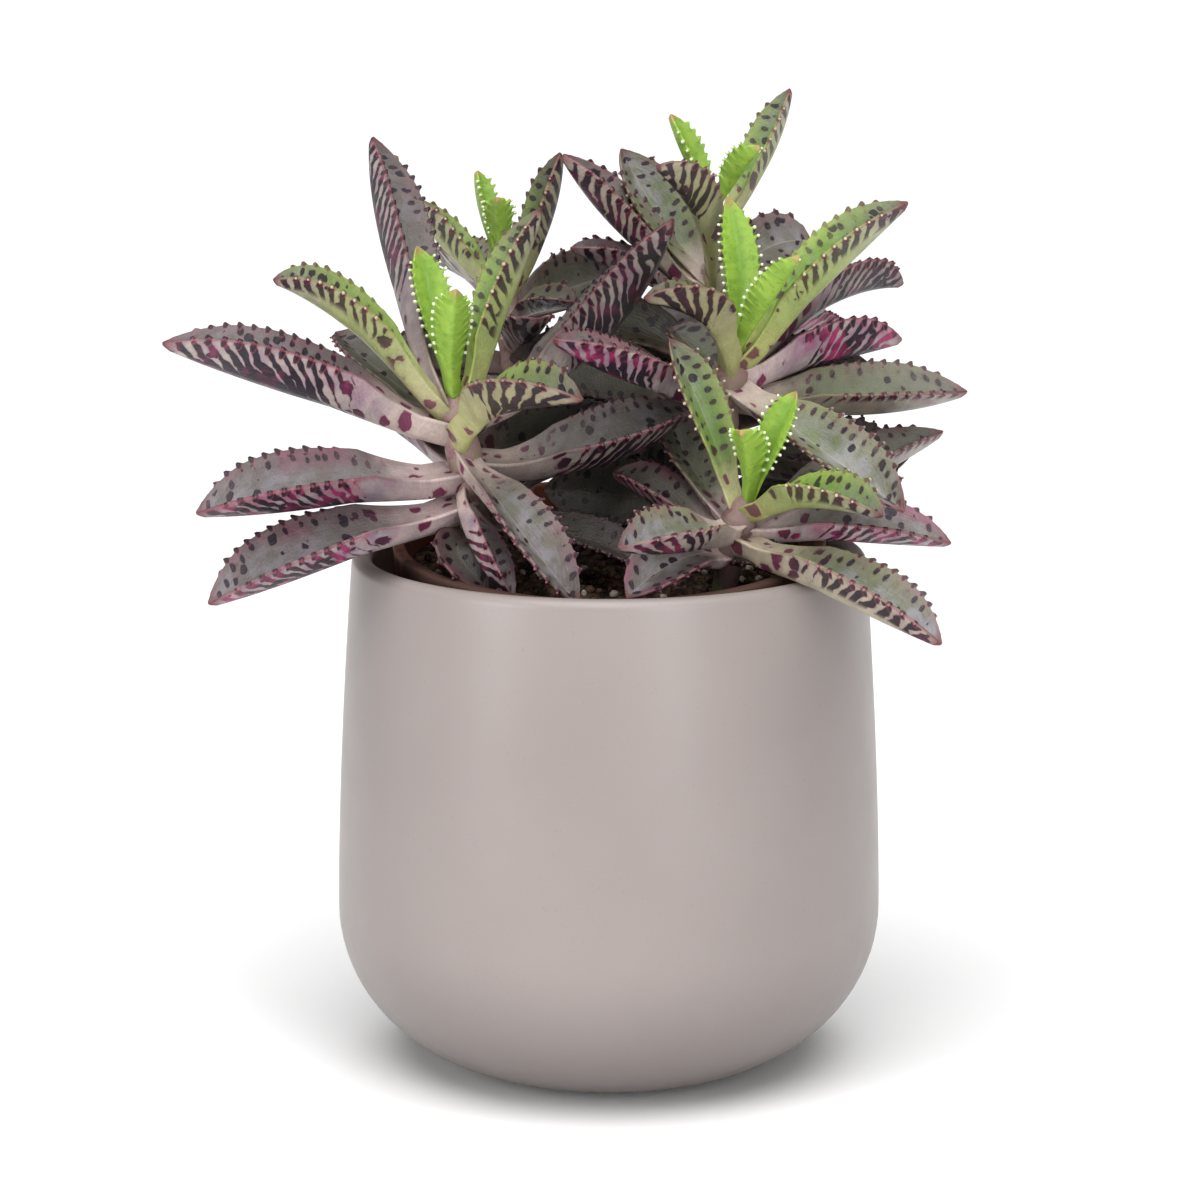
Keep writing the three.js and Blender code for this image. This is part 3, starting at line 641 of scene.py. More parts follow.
def new_material(name, **constants):
    """A material and a graph for its tree, whose own shader takes the constants."""
    material = bpy.data.materials.new(name)
    material.use_nodes = True
    material.node_tree.nodes.clear()
    graph = Graph(material.node_tree)
    constants = {key.replace("_", " "): value for key, value in constants.items()}
    graph.shader = graph.node("ShaderNodeBsdfPrincipled", constants)
    output = graph.node("ShaderNodeOutputMaterial")
    graph.tree.links.new(graph.shader.outputs[0], output.inputs["Surface"])
    return material, graph


def leaf_values(graph):
    """What every leaf mesh says about each of its points, by name."""
    at = SimpleNamespace()
    for attribute, labels in LEAF_ATTRIBUTES.items():
        for label, value in zip(labels, graph.attribute(attribute).parts()):
            setattr(at, label, value)
    at.middle = abs(at.across)
    at.seed = at.seed + at.across.math("GREATER_THAN", 0.0) * OTHER_HALF_STEP
    at.place = leaf_place(graph, at)
    at.relief = relief_at(at.place, 2.2)
    return at


def leaf_material(settings):
    """Older leaves: grey-green troughs with dark spots, cream undersides with aubergine stripes."""
    material, graph = new_material("Kalanchoe leaf", Specular_IOR_Level=0.35)
    at = leaf_values(graph)
    patch = at.place.noise(0.22, 3.0)
    broad = at.place.noise(0.09)
    streaks = graph.vector(at.tooth * 0.9, at.edge * 2.2, at.seed).noise(1.0)
    stripes = marks(graph, at, "Tooth stripes", tooth_stripes)
    spots = marks(graph, at, "Leaf spots", leaf_spots)
    turned = at.side.ramp(0.3, 0.7)
    outward = at.middle.ramp(0.4, 1.0)
    green = at.green * (1.0 - at.share.ramp(0.5, 1.0) * 0.7)

    tinted = outward * (1.0 - green) * broad.ramp(0.25, 0.7)
    powder = (patch + streaks * 0.3).ramp(0.52, 0.82) * (1.0 - outward * 0.8) * at.bloom
    powder = powder * at.share.ramp(0.2, 0.6)
    upper = graph.coats(
        settings.sage,
        (settings.green, green),
        (settings.pale, outward * green * 0.6),
        (settings.mauve, tinted * 0.65),
        (settings.bloom, powder * 0.6),
        (settings.stalk, at.middle.fall(0.0, 0.05) * 0.25),
    )
    lower = graph.coats(
        settings.cream,
        (settings.lilac, patch.ramp(0.3, 0.7)),
        (settings.pale, green * 0.85),
        (settings.khaki, at.yellow * (1.0 - at.green)),
    )
    base = graph.mix(at.yellow, settings.stalk, settings.ochre)
    flush = (at.place.noise(0.13, 3.0) + at.blush * 0.12).ramp(0.54, 0.7) * at.blush
    flush = flush * at.middle.ramp(0.4, 0.85) * at.share.ramp(0.2, 0.4) * (turned * 0.25 + 0.25)

    red = at.place.noise(0.17) + at.blush * 0.06
    ink = graph.coats(
        settings.maroon,
        (settings.aubergine, at.share.ramp(0.14, 0.44)),
        (settings.wine, red.ramp(0.52, 0.62) * at.blush * turned),
        (settings.magenta, red.ramp(0.62, 0.72) * at.blush * turned),
    )
    kept = (at.edge - (at.stripes * 14.0 - 2.0)).fall(0.0, 2.0)
    keel = at.middle.fall(0.05, 0.4) * broad.ramp(0.34, 0.6) * at.share.ramp(0.35, 0.65) * at.stripes
    dark = graph.mix(turned, spots.mask, (stripes.mask * kept).most(keel))
    halo = graph.mix(turned, spots.halo, stripes.halo * kept)

    plain = 1.0 - green * 0.7
    rim = 1.0 - abs(at.side * 2.0 - 1.0)
    colour = graph.coats(
        graph.mix(turned, upper, lower),
        (base, (at.share + patch * 0.16).fall(0.16, 0.44) * 0.92),
        (settings.magenta, flush),
        (settings.maroon, halo * 0.3),
        (ink, dark * ((1.0 - green * 0.15) * 0.96)),
        (settings.rust, at.nub.ramp(0.15, 0.4) * plain * 0.5),
        (settings.aubergine, at.nub.ramp(0.3, 0.5) * plain * 0.92),
        (settings.rust, rim.ramp(0.35, 0.9) * at.share.ramp(0.2, 0.5) * 0.5),
        (settings.thorn, at.share.ramp(0.93, 0.99) * 0.8),
        (graph.mix(green, settings.maroon, settings.bud), at.bead * 0.9),
    )
    # Painted shade: each leaf is darkened by its look's painted shade, and near the stem, towards the leaf
    # shade colour.
    shade = graph.mix(at.shade.most(at.share.fall(0.0, 0.12) * 0.4), WHITE, LEAF_PAINTED_SHADE)
    tone = at.light * (at.relief.soft * 0.6 + at.relief.fine * 0.6 + 0.43)
    grey = graph.value(0, "ShaderNodeCombineColor", {0: tone, 1: tone, 2: tone})
    colour = graph.mix(1.0, graph.mix(1.0, colour, shade, "MULTIPLY"), grey, "MULTIPLY")
    roughness = powder * 0.15 + (at.relief.fine * 0.2 + 0.24)
    graph.surface(colour, roughness, at.relief.height + streaks * 0.3 - dark * 0.12, 0.7, 0.0006)
    return material


def young_material(settings):
    """Young leaves: bright yellow-green with darker flecks, white buds and rosy tips."""
    material, graph = new_material("Young leaf", Subsurface_Weight=0.1, Subsurface_Scale=0.001,
                                   Specular_IOR_Level=0.4)
    at = leaf_values(graph)
    colour = graph.coats(
        settings.lime,
        (settings.deep, at.place.noise(0.3, 3.0).ramp(0.35, 0.7) * 0.5),
        # Painted shade: deep green along the middle of the upper side, in the leaf's trough.
        (settings.deep, at.middle.fall(0.1, 0.6) * (1.0 - at.side) * 0.55),
        (settings.deep, at.place.noise(0.8).ramp(0.6, 0.66) * 0.55),
        (settings.tip, at.share.ramp(0.9, 1.0) * 0.7),
        (settings.bead, at.bead),
    )
    graph.surface(colour, at.relief.fine * 0.18 + 0.36, at.relief.height, 0.3, 0.0005)
    return material


def stem_material(settings):
    """Stems: brownish and corky, with painted shade making them darker below, maroon marks and a green tinge.
    """
    material, graph = new_material("Kalanchoe stem", Subsurface_Weight=0.05, Subsurface_Scale=0.002)
    place = graph.attribute("stem_place")
    relief = relief_at(place, 1.6)
    patch = place.noise(0.35, 3.0)
    colour = graph.coats(
        settings.bark,
        # Painted shade: the stems darken to near black below the leaves and down into the pot.
        (STEM_PAINTED_SHADE, place.parts()[2].ramp(152.0, 120.0)),
        (settings.maroon, patch.ramp(0.56, 0.64) * 0.5),
        (settings.green, relief.soft.ramp(0.5, 0.7) * 0.2),
    )
    graph.surface(colour, patch * 0.25 + 0.42, relief.height, 0.5, 0.0008)
    return material


def ceramic_material(settings):
    """Warm grey ceramic with a soft satin glaze and faint flecks, with painted shade making it darker towards
    its foot.
    """
    material, graph = new_material("Ceramic", Specular_IOR_Level=0.4)
    place = graph.place()
    relief = relief_at(place, 900.0)
    colour = graph.coats(
        settings.ceramic,
        (settings.ceramic_dark, place.noise(22.0, 3.0).ramp(0.3, 0.75) * 0.22),
        (settings.ceramic_dark, place.noise(1400.0).ramp(0.66, 0.74) * 0.35),
        # Painted shade: darker towards the foot, over the lowest 44 mm.
        (POT_FOOT_PAINTED_SHADE, place.parts()[2].fall(0.0, 0.044) * 0.84),
    )
    graph.surface(colour, relief.soft * 0.12 + 0.3, relief.height, 0.12, 0.0004)
    return material


def terracotta_material(settings):
    """Matt terracotta-coloured plastic, marked with soil near its rim; the soil marks also stand in for
    painted shade, heavier on the front half.
    """
    material, graph = new_material("Terracotta plastic")
    place = graph.place()
    # Painted shade: the soil marks are heavier on the front half, where the pot lies in shade inside the
    # outer pot; they are partly real soil.
    front_painted_shade = place.parts()[1].fall(-0.035, 0.0) * 0.25
    grime_and_painted_shade = (place.noise(110.0, 5.0, 0.65) + front_painted_shade).ramp(0.5, 0.68)
    colour = graph.coats(
        settings.terracotta,
        (settings.grime_and_shade, place.noise(45.0, 4.0).ramp(0.3, 0.7) * 0.3),
        (settings.grime_and_shade, grime_and_painted_shade * 0.85),
    )
    graph.surface(colour, grime_and_painted_shade * 0.25 + 0.5, relief_at(place, 1200.0).height + grime_and_painted_shade, 0.25, 0.0004)
    return material


def soil_material(name, first, second, scale):
    """Crumbly soil or grain of two colours."""
    material, graph = new_material(name, Specular_IOR_Level=0.2)
    place = graph.place()
    grains = place.noise(scale * 0.4, 4.0, 0.7)
    colour = graph.mix(grains.ramp(0.4, 0.7), first, second)
    graph.surface(colour, grains * 0.2 + 0.78, relief_at(place, scale).height + grains, 0.9, 0.0012)
    return material


def backdrop_material(settings):
    """Pale paper with the faintest unevenness."""
    material, graph = new_material("Backdrop", Roughness=0.9, Specular_IOR_Level=0.1)
    colour = graph.mix(graph.place().noise(3.0) * 0.02, settings.backdrop, BACKDROP_SHADE)
    graph.feed(graph.shader.inputs["Base Color"], colour)
    return material


def unit(vectors):
    """Vectors of the same directions and a length of 1."""
    return vectors / np.linalg.norm(vectors, axis=-1, keepdims=True)


def smooth(value, low, high):
    """0 below low, 1 above high, smooth between them."""
    share = np.clip((value - low) / (high - low), 0, 1)
    return share * share * (3 - 2 * share)


def turns(sides):
    """The angles of points spaced evenly round a circle."""
    return [2 * math.pi * turn / sides for turn in range(sides)]


def add_object(name, points, faces, material, nodes, attributes=None, corners=None):
    """A smooth mesh object from points in millimetres, which rides on the pot's body."""
    mesh = bpy.data.meshes.new(name)
    mesh.from_pydata((np.asarray(points) * MM).tolist(), [], faces)
    if corners is not None:
        layer = mesh.uv_layers.new(name="OFBake")
        layer.data.foreach_set("uv", np.asarray(corners, dtype=np.float32).ravel())
    for label, values in (attributes or {}).items():
        attribute = mesh.attributes.new(label, "FLOAT_VECTOR", "POINT")
        attribute.data.foreach_set("vector", np.asarray(values, dtype=np.float32).ravel())
    mesh.shade_smooth()
    mesh.materials.append(material)
    obj = bpy.data.objects.new(name, mesh)
    bpy.context.scene.collection.objects.link(obj)
    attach(obj, "root")
    if nodes:
        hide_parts(*nodes)
    return obj


def grid_faces(rings, count, start=0):
    """Quads round each pair of neighbouring rings of equally many points."""
    faces = []
    for low in range(start, start + (rings - 1) * count, count):
        for side in range(count):
            beside = (side + 1) % count
            faces.append((low + side, low + beside, low + count + beside, low + count + side))
    return faces


def grid_corners(across, count, height=1.0):
    """Bake places for grid_faces, with one strip for the whole grid."""
    corners = []
    for left, right in zip(across, across[1:]):
        for side in range(count):
            low, high = height * side / count, height * (side + 1) / count
            corners += [(left, low), (left, high), (right, high), (right, low)]
    return corners


def along_path(path, heights):
    """The points of a stem's line at one or more heights."""
    path = np.array(path, dtype=float)
    return np.stack([np.interp(heights, path[:, 2], path[:, axis]) for axis in range(3)], axis=-1)


class LeafShape:
    """The points of one leaf, the values its material reads, and its faces."""

    def __init__(self, base, bow, tip, width, fold, face, look, stalk, seed, settings):
        vectors = (np.array(vector, dtype=float) for vector in (base, bow, tip, face))
        self.base, bow, self.tip, self.face = vectors
        self.middle = (self.base + self.tip) / 2 + 2 * bow
        self.width, self.fold, self.look, self.stalk = width, fold, look, stalk
        self.random = random.Random(seed)
        self.seed = seed * MARK_SEED_STEP
        self.reach = settings.tooth_reach / MM
        self.bead = settings.bead_radius / MM
        young = look == "young"
        self.bead_growth = YOUNG_BEAD_GROWTH if young else 1
        self.first_tooth = FIRST_YOUNG_TOOTH_SHARE if young else FIRST_TOOTH_SHARE
        length = np.linalg.norm(np.diff(self.centre(np.linspace(0, 1, 60)), axis=0), axis=1).sum()
        pitch = settings.tooth_pitch / MM * (YOUNG_PITCH_SHARE if young else 1)
        self.teeth = max(FEWEST_TEETH, round(length * (1 - stalk) / pitch))

    def centre(self, share):
        """Points of the curve that the leaf follows from its base to its tip."""
        share = np.asarray(share)[..., None]
        return (1 - share) ** 2 * self.base + 2 * (1 - share) * share * self.middle + share ** 2 * self.tip

    def axes(self, share):
        """The ways along the leaf, up from its upper side and to its right."""
        share = np.asarray(share)[..., None]
        along = unit(2 * (1 - share) * (self.middle - self.base) + 2 * share * (self.tip - self.middle))
        up = unit(self.face - (along @ self.face)[..., None] * along)
        return along, up, np.cross(along, up)

    def half_width(self, blade):
        """Half the width of the blade, from its outline with the corners worn round."""
        dense = np.linspace(0, 1, 201)
        outline = np.interp(dense, *zip(*BLADE_OUTLINE))
        outline = np.convolve(np.pad(outline, 10, mode="edge"), np.ones(21) / 21, mode="valid")
        return np.interp(blade, dense, outline) * self.width

    def build(self):
        """Works out the points, their values and the faces."""
        self.measure_rings()
        across = np.sin(np.linspace(-np.pi / 2, np.pi / 2, INNER_POINTS))
        lines = [self.line(place, UPPER) for place in across]
        lines.append(self.line(1, RIM))
        lines += [self.line(place, LOWER) for place in across[::-1]]
        lines.append(self.line(-1, RIM))
        rims = lines[INNER_POINTS][0], lines[-1][0]
        self.points, self.place, self.form = (np.stack(part, axis=1).reshape(-1, 3) for part in zip(*lines))
        self.rings, self.count = len(self.shares), len(lines)
        self.faces = grid_faces(self.rings, self.count)
        self.corners = grid_corners(0.01 + 0.98 * np.linspace(0, 1, self.rings), self.count, LEAF_STRIP)
        self.close_ends()
        self.bead_start = len(self.points)
        self.add_beads(rims)

    def measure_rings(self):
        """Where the rings lie along the leaf, and how wide, thick, hollow and toothed each is."""
        stalk = np.linspace(0, self.stalk, STALK_RINGS, endpoint=False)
        blade = np.linspace(self.stalk, TIP_START, self.teeth * RINGS_PER_TOOTH + 1)
        self.shares = shares = np.concatenate([stalk, blade, TIP_RINGS])
        self.bladed = bladed = np.clip((shares - self.stalk) / (1 - self.stalk), 0, 1)
        self.along, self.up, self.right = self.axes(shares)
        round_off = np.sqrt(np.clip((TIP_END - shares) / (TIP_END - TIP_START), 0, 1))
        round_off = np.where(shares > TIP_START, round_off, 1)
        stalk_half = STALK_HALF_WIDTH_SHARE * self.width * (1 - bladed)
        self.half = np.maximum(stalk_half, self.half_width(bladed)) * round_off
        stalk_thick, blade_thick = STALK_THICKNESS_SHARE * self.width, 1.2 + 0.3 * self.width
        thick = stalk_thick + (blade_thick - stalk_thick) * np.clip(3 * bladed, 0, 1)
        self.thick = (thick + (TIP_THICKNESS - thick) * bladed ** 3) * round_off
        self.lip = np.minimum(0.55 + 0.07 * self.width, MARGIN_THICKNESS_SHARE * self.thick)
        self.rise = self.fold * np.clip(0.25 + 3 * bladed, 0, 1)
        self.slope = np.sqrt(1 + self.rise ** 2)

        self.tooth = (shares - self.stalk) / (TIP_START - self.stalk) * self.teeth
        wave = smooth(np.cos(2 * np.pi * (self.tooth - TOOTH_CREST)), 0.0, 0.95)
        start = smooth(bladed, self.first_tooth - 0.05, self.first_tooth + 0.15)
        self.wave = wave * start * (1 - smooth(bladed, 0.82, 0.95))
        nearest = np.clip((self.tooth - 0.1).astype(int), 0, self.teeth + 1)
        sizes = [[self.random.uniform(*TOOTH_SIZES) for _ in range(self.teeth + 2)] for _ in range(2)]
        self.left_teeth, self.right_teeth = (np.array(size)[nearest] for size in sizes)

    def line(self, across, side):
        """One line of points along the leaf, from -1 to 1 across it, with two attributes."""
        hollow = UPPER_HOLLOW if side == UPPER else LOWER_HOLLOW
        curve = (math.hypot(across, hollow) - hollow) / (math.hypot(1, hollow) - hollow)
        out, height = self.half * across, self.half * self.rise * curve
        if side == LOWER:
            height = height - self.thick - (self.lip - self.thick) * abs(across) ** UNDERSIDE_CURVE
            out = out * LOWER_WIDTH_SHARE
        elif side == RIM:
            out = out + across * RIM_REACH * self.lip
            height = self.half * self.rise - RIM_DROP * self.lip
        nub = self.wave * smooth(abs(across), 0.8, 1.0)
        push = nub * self.reach * (self.right_teeth if across > 0 else self.left_teeth)
        out = out + np.sign(across) * push / self.slope
        height = height + push * self.rise / self.slope + TOOTH_LIFT * nub * (1 if side == UPPER else -1)
        points = self.centre(self.shares) + self.right * out[:, None] + self.up * height[:, None]
        points = points + self.along * (TOOTH_LEAN * push)[:, None]
        edge = (1 - abs(across)) * self.half * self.slope
        share = np.where(self.bladed > 0, STALK_FORM_SHARE + (1 - STALK_FORM_SHARE) * self.bladed,
                         STALK_FORM_SHARE * self.shares / max(self.stalk, 0.01))
        same = np.ones_like(edge)
        return (points, np.stack([self.tooth, edge, side * same], axis=-1),
                np.stack([share, across * same, nub], axis=-1))

    def add_fan(self, start, count, apex, corner, turned):
        """Triangles from a ring of points to an apex. corner gives the bake place at a turn of either."""
        for turn in range(count):
            ends = [(start + turn, turn), (start + (turn + 1) % count, turn + 1)]
            if turned:
                ends.reverse()
            self.faces.append((ends[0][0], ends[1][0], apex))
            self.corners += [corner(ends[0][1], False), corner(ends[1][1], False), corner(turn + 0.5, True)]

    def close_ends(self):
        """Fans over the first and last ring."""
        for ring, edge, end in ((0, 0.01, 0.002), (self.rings - 1, 0.99, 0.998)):
            start = ring * self.count
            centre = self.points[start:start + self.count].mean(axis=0)
            if ring:
                centre = centre + 0.25 * unit(self.tip - self.middle)
            apex = len(self.points)
            self.points = np.vstack([self.points, centre])
            self.place = np.vstack([self.place, self.place[start]])
            self.form = np.vstack([self.form, self.form[start]])

            def corner(turn, at_apex):
                return (end if at_apex else edge, LEAF_STRIP * turn / self.count)

            self.add_fan(start, self.count, apex, corner, not ring)

    def add_beads(self, rims):
        """A small bud on each tooth of both rims."""
        done = 0
        for number in range(self.teeth):
            index = int(np.argmin(abs(self.tooth - (number + TOOTH_CREST))))
            share = self.shares[index]
            if not self.stalk + self.first_tooth < share < LAST_BEAD_SHARE:
                continue
            for rim in rims:
                outward = unit(rim[index] - self.centre(share))
                size = self.bead * self.random.uniform(*BEAD_SIZES) * (1.0 if share < 0.8 else 0.8)
                size *= self.bead_growth
                centre = rim[index] + outward * BEAD_REACH * size
                self.add_bead(centre, outward, self.along[index], size, done)
                done += 1

    def add_bead(self, centre, outward, along, size, number):
        """A ball with a bake patch of its own."""
        side = np.cross(outward, along)
        start = len(self.points)
        points = [centre - outward * size]
        for ring in range(1, BEAD_RINGS):
            angle = math.pi * ring / BEAD_RINGS
            flat, deep = size * math.sin(angle), size * math.cos(angle)
            for spin in turns(BEAD_SIDES):
                round_axis = along * math.cos(spin) + side * math.sin(spin)
                points.append(centre - outward * deep + round_axis * flat)
        points.append(centre + outward * size)
        self.points = np.vstack([self.points, points])

        def corner(turn, ring):
            left = (number + 0.9 * turn / BEAD_SIDES) / (2 * self.teeth)
            return (left, BEAD_STRIP_START + BEAD_STRIP * ring / BEAD_RINGS)

        def inner_corner(turn, at_apex):
            return corner(turn, 0 if at_apex else 1)

        def outer_corner(turn, at_apex):
            return corner(turn, BEAD_RINGS if at_apex else last)

        last = BEAD_RINGS - 1
        self.add_fan(start + 1, BEAD_SIDES, start, inner_corner, True)
        self.faces += grid_faces(last, BEAD_SIDES, start + 1)
        for ring in range(1, last):
            for turn in range(BEAD_SIDES):
                self.corners += [corner(turn, ring), corner(turn + 1, ring),
                                 corner(turn + 1, ring + 1), corner(turn, ring + 1)]
        end = start + len(points) - 1
        self.add_fan(end - BEAD_SIDES, BEAD_SIDES, end, outer_corner, False)

    def attributes(self):
        """The values of LEAF_ATTRIBUTES for every point."""
        total = len(self.points)
        beads = total - self.bead_start
        green, blush, shade, yellow, stripes, bloom = LOOKS[self.look]
        vary = self.random.uniform(-GREEN_SPREAD, GREEN_SPREAD)
        light = self.random.uniform(*LIGHTNESS)
        rows = np.ones((total, 1))
        mark = rows * (self.seed, 0.0, light)
        mark[self.bead_start:, 1] = 1.0
        return {
            "leaf_place": np.vstack([self.place, np.tile((0.6, 0.0, 0.5), (beads, 1))]),
            "leaf_form": np.vstack([self.form, np.tile((0.5, 1.0, 0.0), (beads, 1))]),
            # The third tone value is the look's painted shade.
            "leaf_tone": rows * (np.clip(green + vary, 0, 1), blush, shade),
            "leaf_more": rows * (yellow, stripes, bloom),
            "leaf_mark": mark,
        }

    def add(self, name, material, slot, node):
        """Builds the leaf and adds its object."""
        self.build()
        add_object(name, self.points, self.faces, material, [node], self.attributes(), self.corners)


class LeavesOperator(bpy.types.Operator):
    """Build the older leaves of every stem"""
    bl_idname = "kalanchoe.leaves"
    bl_label = "Leaves"

    def execute(self, context):
        settings = context.scene.kalanchoe_leaves
        material = leaf_material(settings)
        for order, (stem_name, stem) in enumerate(STEMS.items()):
            for number, leaf in enumerate(stem["leaves"], 1):
                height, bow, tip, width, fold, face, look, *stalk = leaf
                stalk = stalk[0] if stalk else STALK_SHARE
                base = along_path(stem["path"], height)
                seed = SEEDS_A_STEM * order + number
                shape = LeafShape(base, bow, tip, width, fold, face, look, stalk, seed, settings)
                shape.add(f"leaf_{stem_name}_{number:02d}", material, "leaf", f"leafy_stem_{stem_name}")
        return {"FINISHED"}


class YoungLeavesOperator(bpy.types.Operator):
    """Build the pair of young leaves at the tip of every stem"""
    bl_idname = "kalanchoe.young_leaves"
    bl_label = "Young Leaves"

    def execute(self, context):
        settings = context.scene.kalanchoe_leaves
        material = young_material(context.scene.kalanchoe_young)
        for order, (stem_name, stem) in enumerate(STEMS.items()):
            before, end = np.array(stem["path"][-2:], dtype=float)
            base = end + unit(end - before) * YOUNG_LEAF_STEP
            for number, (bow, tip, width, fold, face) in enumerate(stem["heart"]):
                seed = YOUNG_SEED + YOUNG_SEEDS_A_STEM * order + number
                shape = LeafShape(base, bow, tip, width, fold, face, "young", STALK_SHARE, seed, settings)
                shape.add(f"young_leaf_{stem_name}_{number + 1}", material, "young_leaf",
                          f"young_leaves_{stem_name}")
        return {"FINISHED"}


class StemsOperator(bpy.types.Operator):
    """Build the stems with the swellings that their leaves grow from"""
    bl_idname = "kalanchoe.stems"
    bl_label = "Stems"

    def execute(self, context):
        material = stem_material(context.scene.kalanchoe_leaves)
        for name, stem in STEMS.items():
            path = np.array(stem["path"], dtype=float)
            path = np.vstack([path, path[-1] + unit(path[-1] - path[-2]) * STEM_END])
            heights = np.linspace(path[0, 2], path[-1, 2], STEM_RINGS)
            line = along_path(path, heights)
            for _ in range(STEM_SMOOTHING):
                line[1:-1] = (line[:-2] + 2 * line[1:-1] + line[2:]) / 4
            along = unit(np.gradient(line, axis=0))
            right = unit(np.cross((0.0, 1.0, 0.0), along))
            back = np.cross(along, right)
            points = []
            for ring, radius in enumerate(self.radii(stem, heights)):
                for angle in turns(STEM_SIDES):
                    size = radius * (1 + 0.03 * math.sin(3 * angle + heights[ring] * 0.3))
                    out = right[ring] * math.cos(angle) + back[ring] * math.sin(angle)
                    points.append(line[ring] + size * out)
            faces = grid_faces(STEM_RINGS, STEM_SIDES)
            corners = grid_corners(np.linspace(0.01, 0.93, STEM_RINGS), STEM_SIDES)
            faces.append(tuple(reversed(range(STEM_SIDES))))
            faces.append(tuple(range(len(points) - STEM_SIDES, len(points))))
            for middle, way in ((0.95, -1), (0.98, 1)):
                corners += [(middle + 0.012 * math.cos(way * angle), 0.5 + 0.012 * math.sin(way * angle))
                            for angle in turns(STEM_SIDES)]
            add_object(f"stem_{name}", points, faces, material, [f"leafy_stem_{name}"],
                       {"stem_place": points}, corners)
        return {"FINISHED"}

    def radii(self, stem, heights):
        """The stem's radius at each height: tapered, swollen at its leaves and drawn in at its end."""
        low, high = stem["radius"]
        share = np.linspace(0, 1, len(heights))
        radius = low + (high - low) * share
        for leaf in stem["leaves"]:
            radius = radius + NODE_SWELLING * np.exp(-((heights - leaf[0]) / NODE_HALF_HEIGHT) ** 2)
        return np.minimum(radius, low + GREATEST_SWELLING) * (1 - 0.45 * smooth(share, 0.93, 1.0))


def lathe(name, node, profile, sides, material, place=np.array):
    """A turned form from its profile of (radius, height) pairs in millimetres. place moves its points."""
    points = np.array([
        (radius * math.cos(angle), radius * math.sin(angle), height)
        for radius, height in profile for angle in turns(sides)
    ])
    steps = [math.dist(start, end) for start, end in zip(profile, profile[1:])]
    across = np.concatenate([[0], np.cumsum(steps)]) / sum(steps)
    faces = [tuple(reversed(face)) for face in grid_faces(len(profile), sides)]
    corners = np.reshape(grid_corners(across, sides), (-1, 4, 2))[:, ::-1]
    return add_object(name, place(points), faces, material, [node], corners=corners)


def lean(points):
    """Stands points of the nursery pot where it leans inside the ceramic pot."""
    cosine, sine = math.cos(NURSERY_LEAN), math.sin(NURSERY_LEAN)
    turned = points.copy()
    turned[:, 1] = points[:, 1] * cosine - points[:, 2] * sine
    turned[:, 2] = points[:, 1] * sine + points[:, 2] * cosine
    return turned + np.array(NURSERY_FOOT_CENTRE)


class CeramicPotOperator(bpy.types.Operator):
    """Build the rounded outer pot"""
    bl_idname = "kalanchoe.ceramic_pot"
    bl_label = "Ceramic Pot"

    def execute(self, context):
        lip_radius = POT_WALL / 2
        outer, inner = [], []
        for step in range(POT_BOWL_STEPS + 1):
            angle = step / POT_BOWL_STEPS * math.pi / 2
            out = POT_FOOT_RADIUS + (POT_BELLY_RADIUS - POT_FOOT_RADIUS) * math.sin(angle)
            outer.append((out, POT_BELLY_HEIGHT * (1 - math.cos(angle))))
            inner.append((out - POT_WALL,
                          POT_BELLY_HEIGHT - (POT_BELLY_HEIGHT - POT_WALL) * math.cos(angle)))
        for step in range(1, POT_WALL_STEPS + 1):
            share = step / POT_WALL_STEPS
            height = POT_BELLY_HEIGHT + share * (POT_HEIGHT - lip_radius - POT_BELLY_HEIGHT)
            radius = POT_BELLY_RADIUS + share ** POT_WALL_CURVE * (POT_MOUTH_RADIUS - POT_BELLY_RADIUS)
            outer.append((radius, height))
            inner.append((radius - POT_WALL, height))
        lip = []
        for step in range(1, POT_WALL_STEPS):
            angle = math.pi * step / POT_WALL_STEPS
            lip.append((POT_MOUTH_RADIUS + lip_radius * (math.cos(angle) - 1),
                        POT_HEIGHT + lip_radius * (math.sin(angle) - 1)))
        profile = [(AXIS_RADIUS, 0)] + outer + lip + inner[::-1] + [(AXIS_RADIUS, POT_WALL)]
        material = ceramic_material(context.scene.kalanchoe_pots)
        lathe("ceramic_pot_body", "ceramic_pot", profile, POT_SIDES, material)
        return {"FINISHED"}


def nursery_radius(height):
    """Outer radius of the nursery pot's wall at a height, without its rim band."""
    return NURSERY_FOOT_RADIUS + NURSERY_SLOPE * height


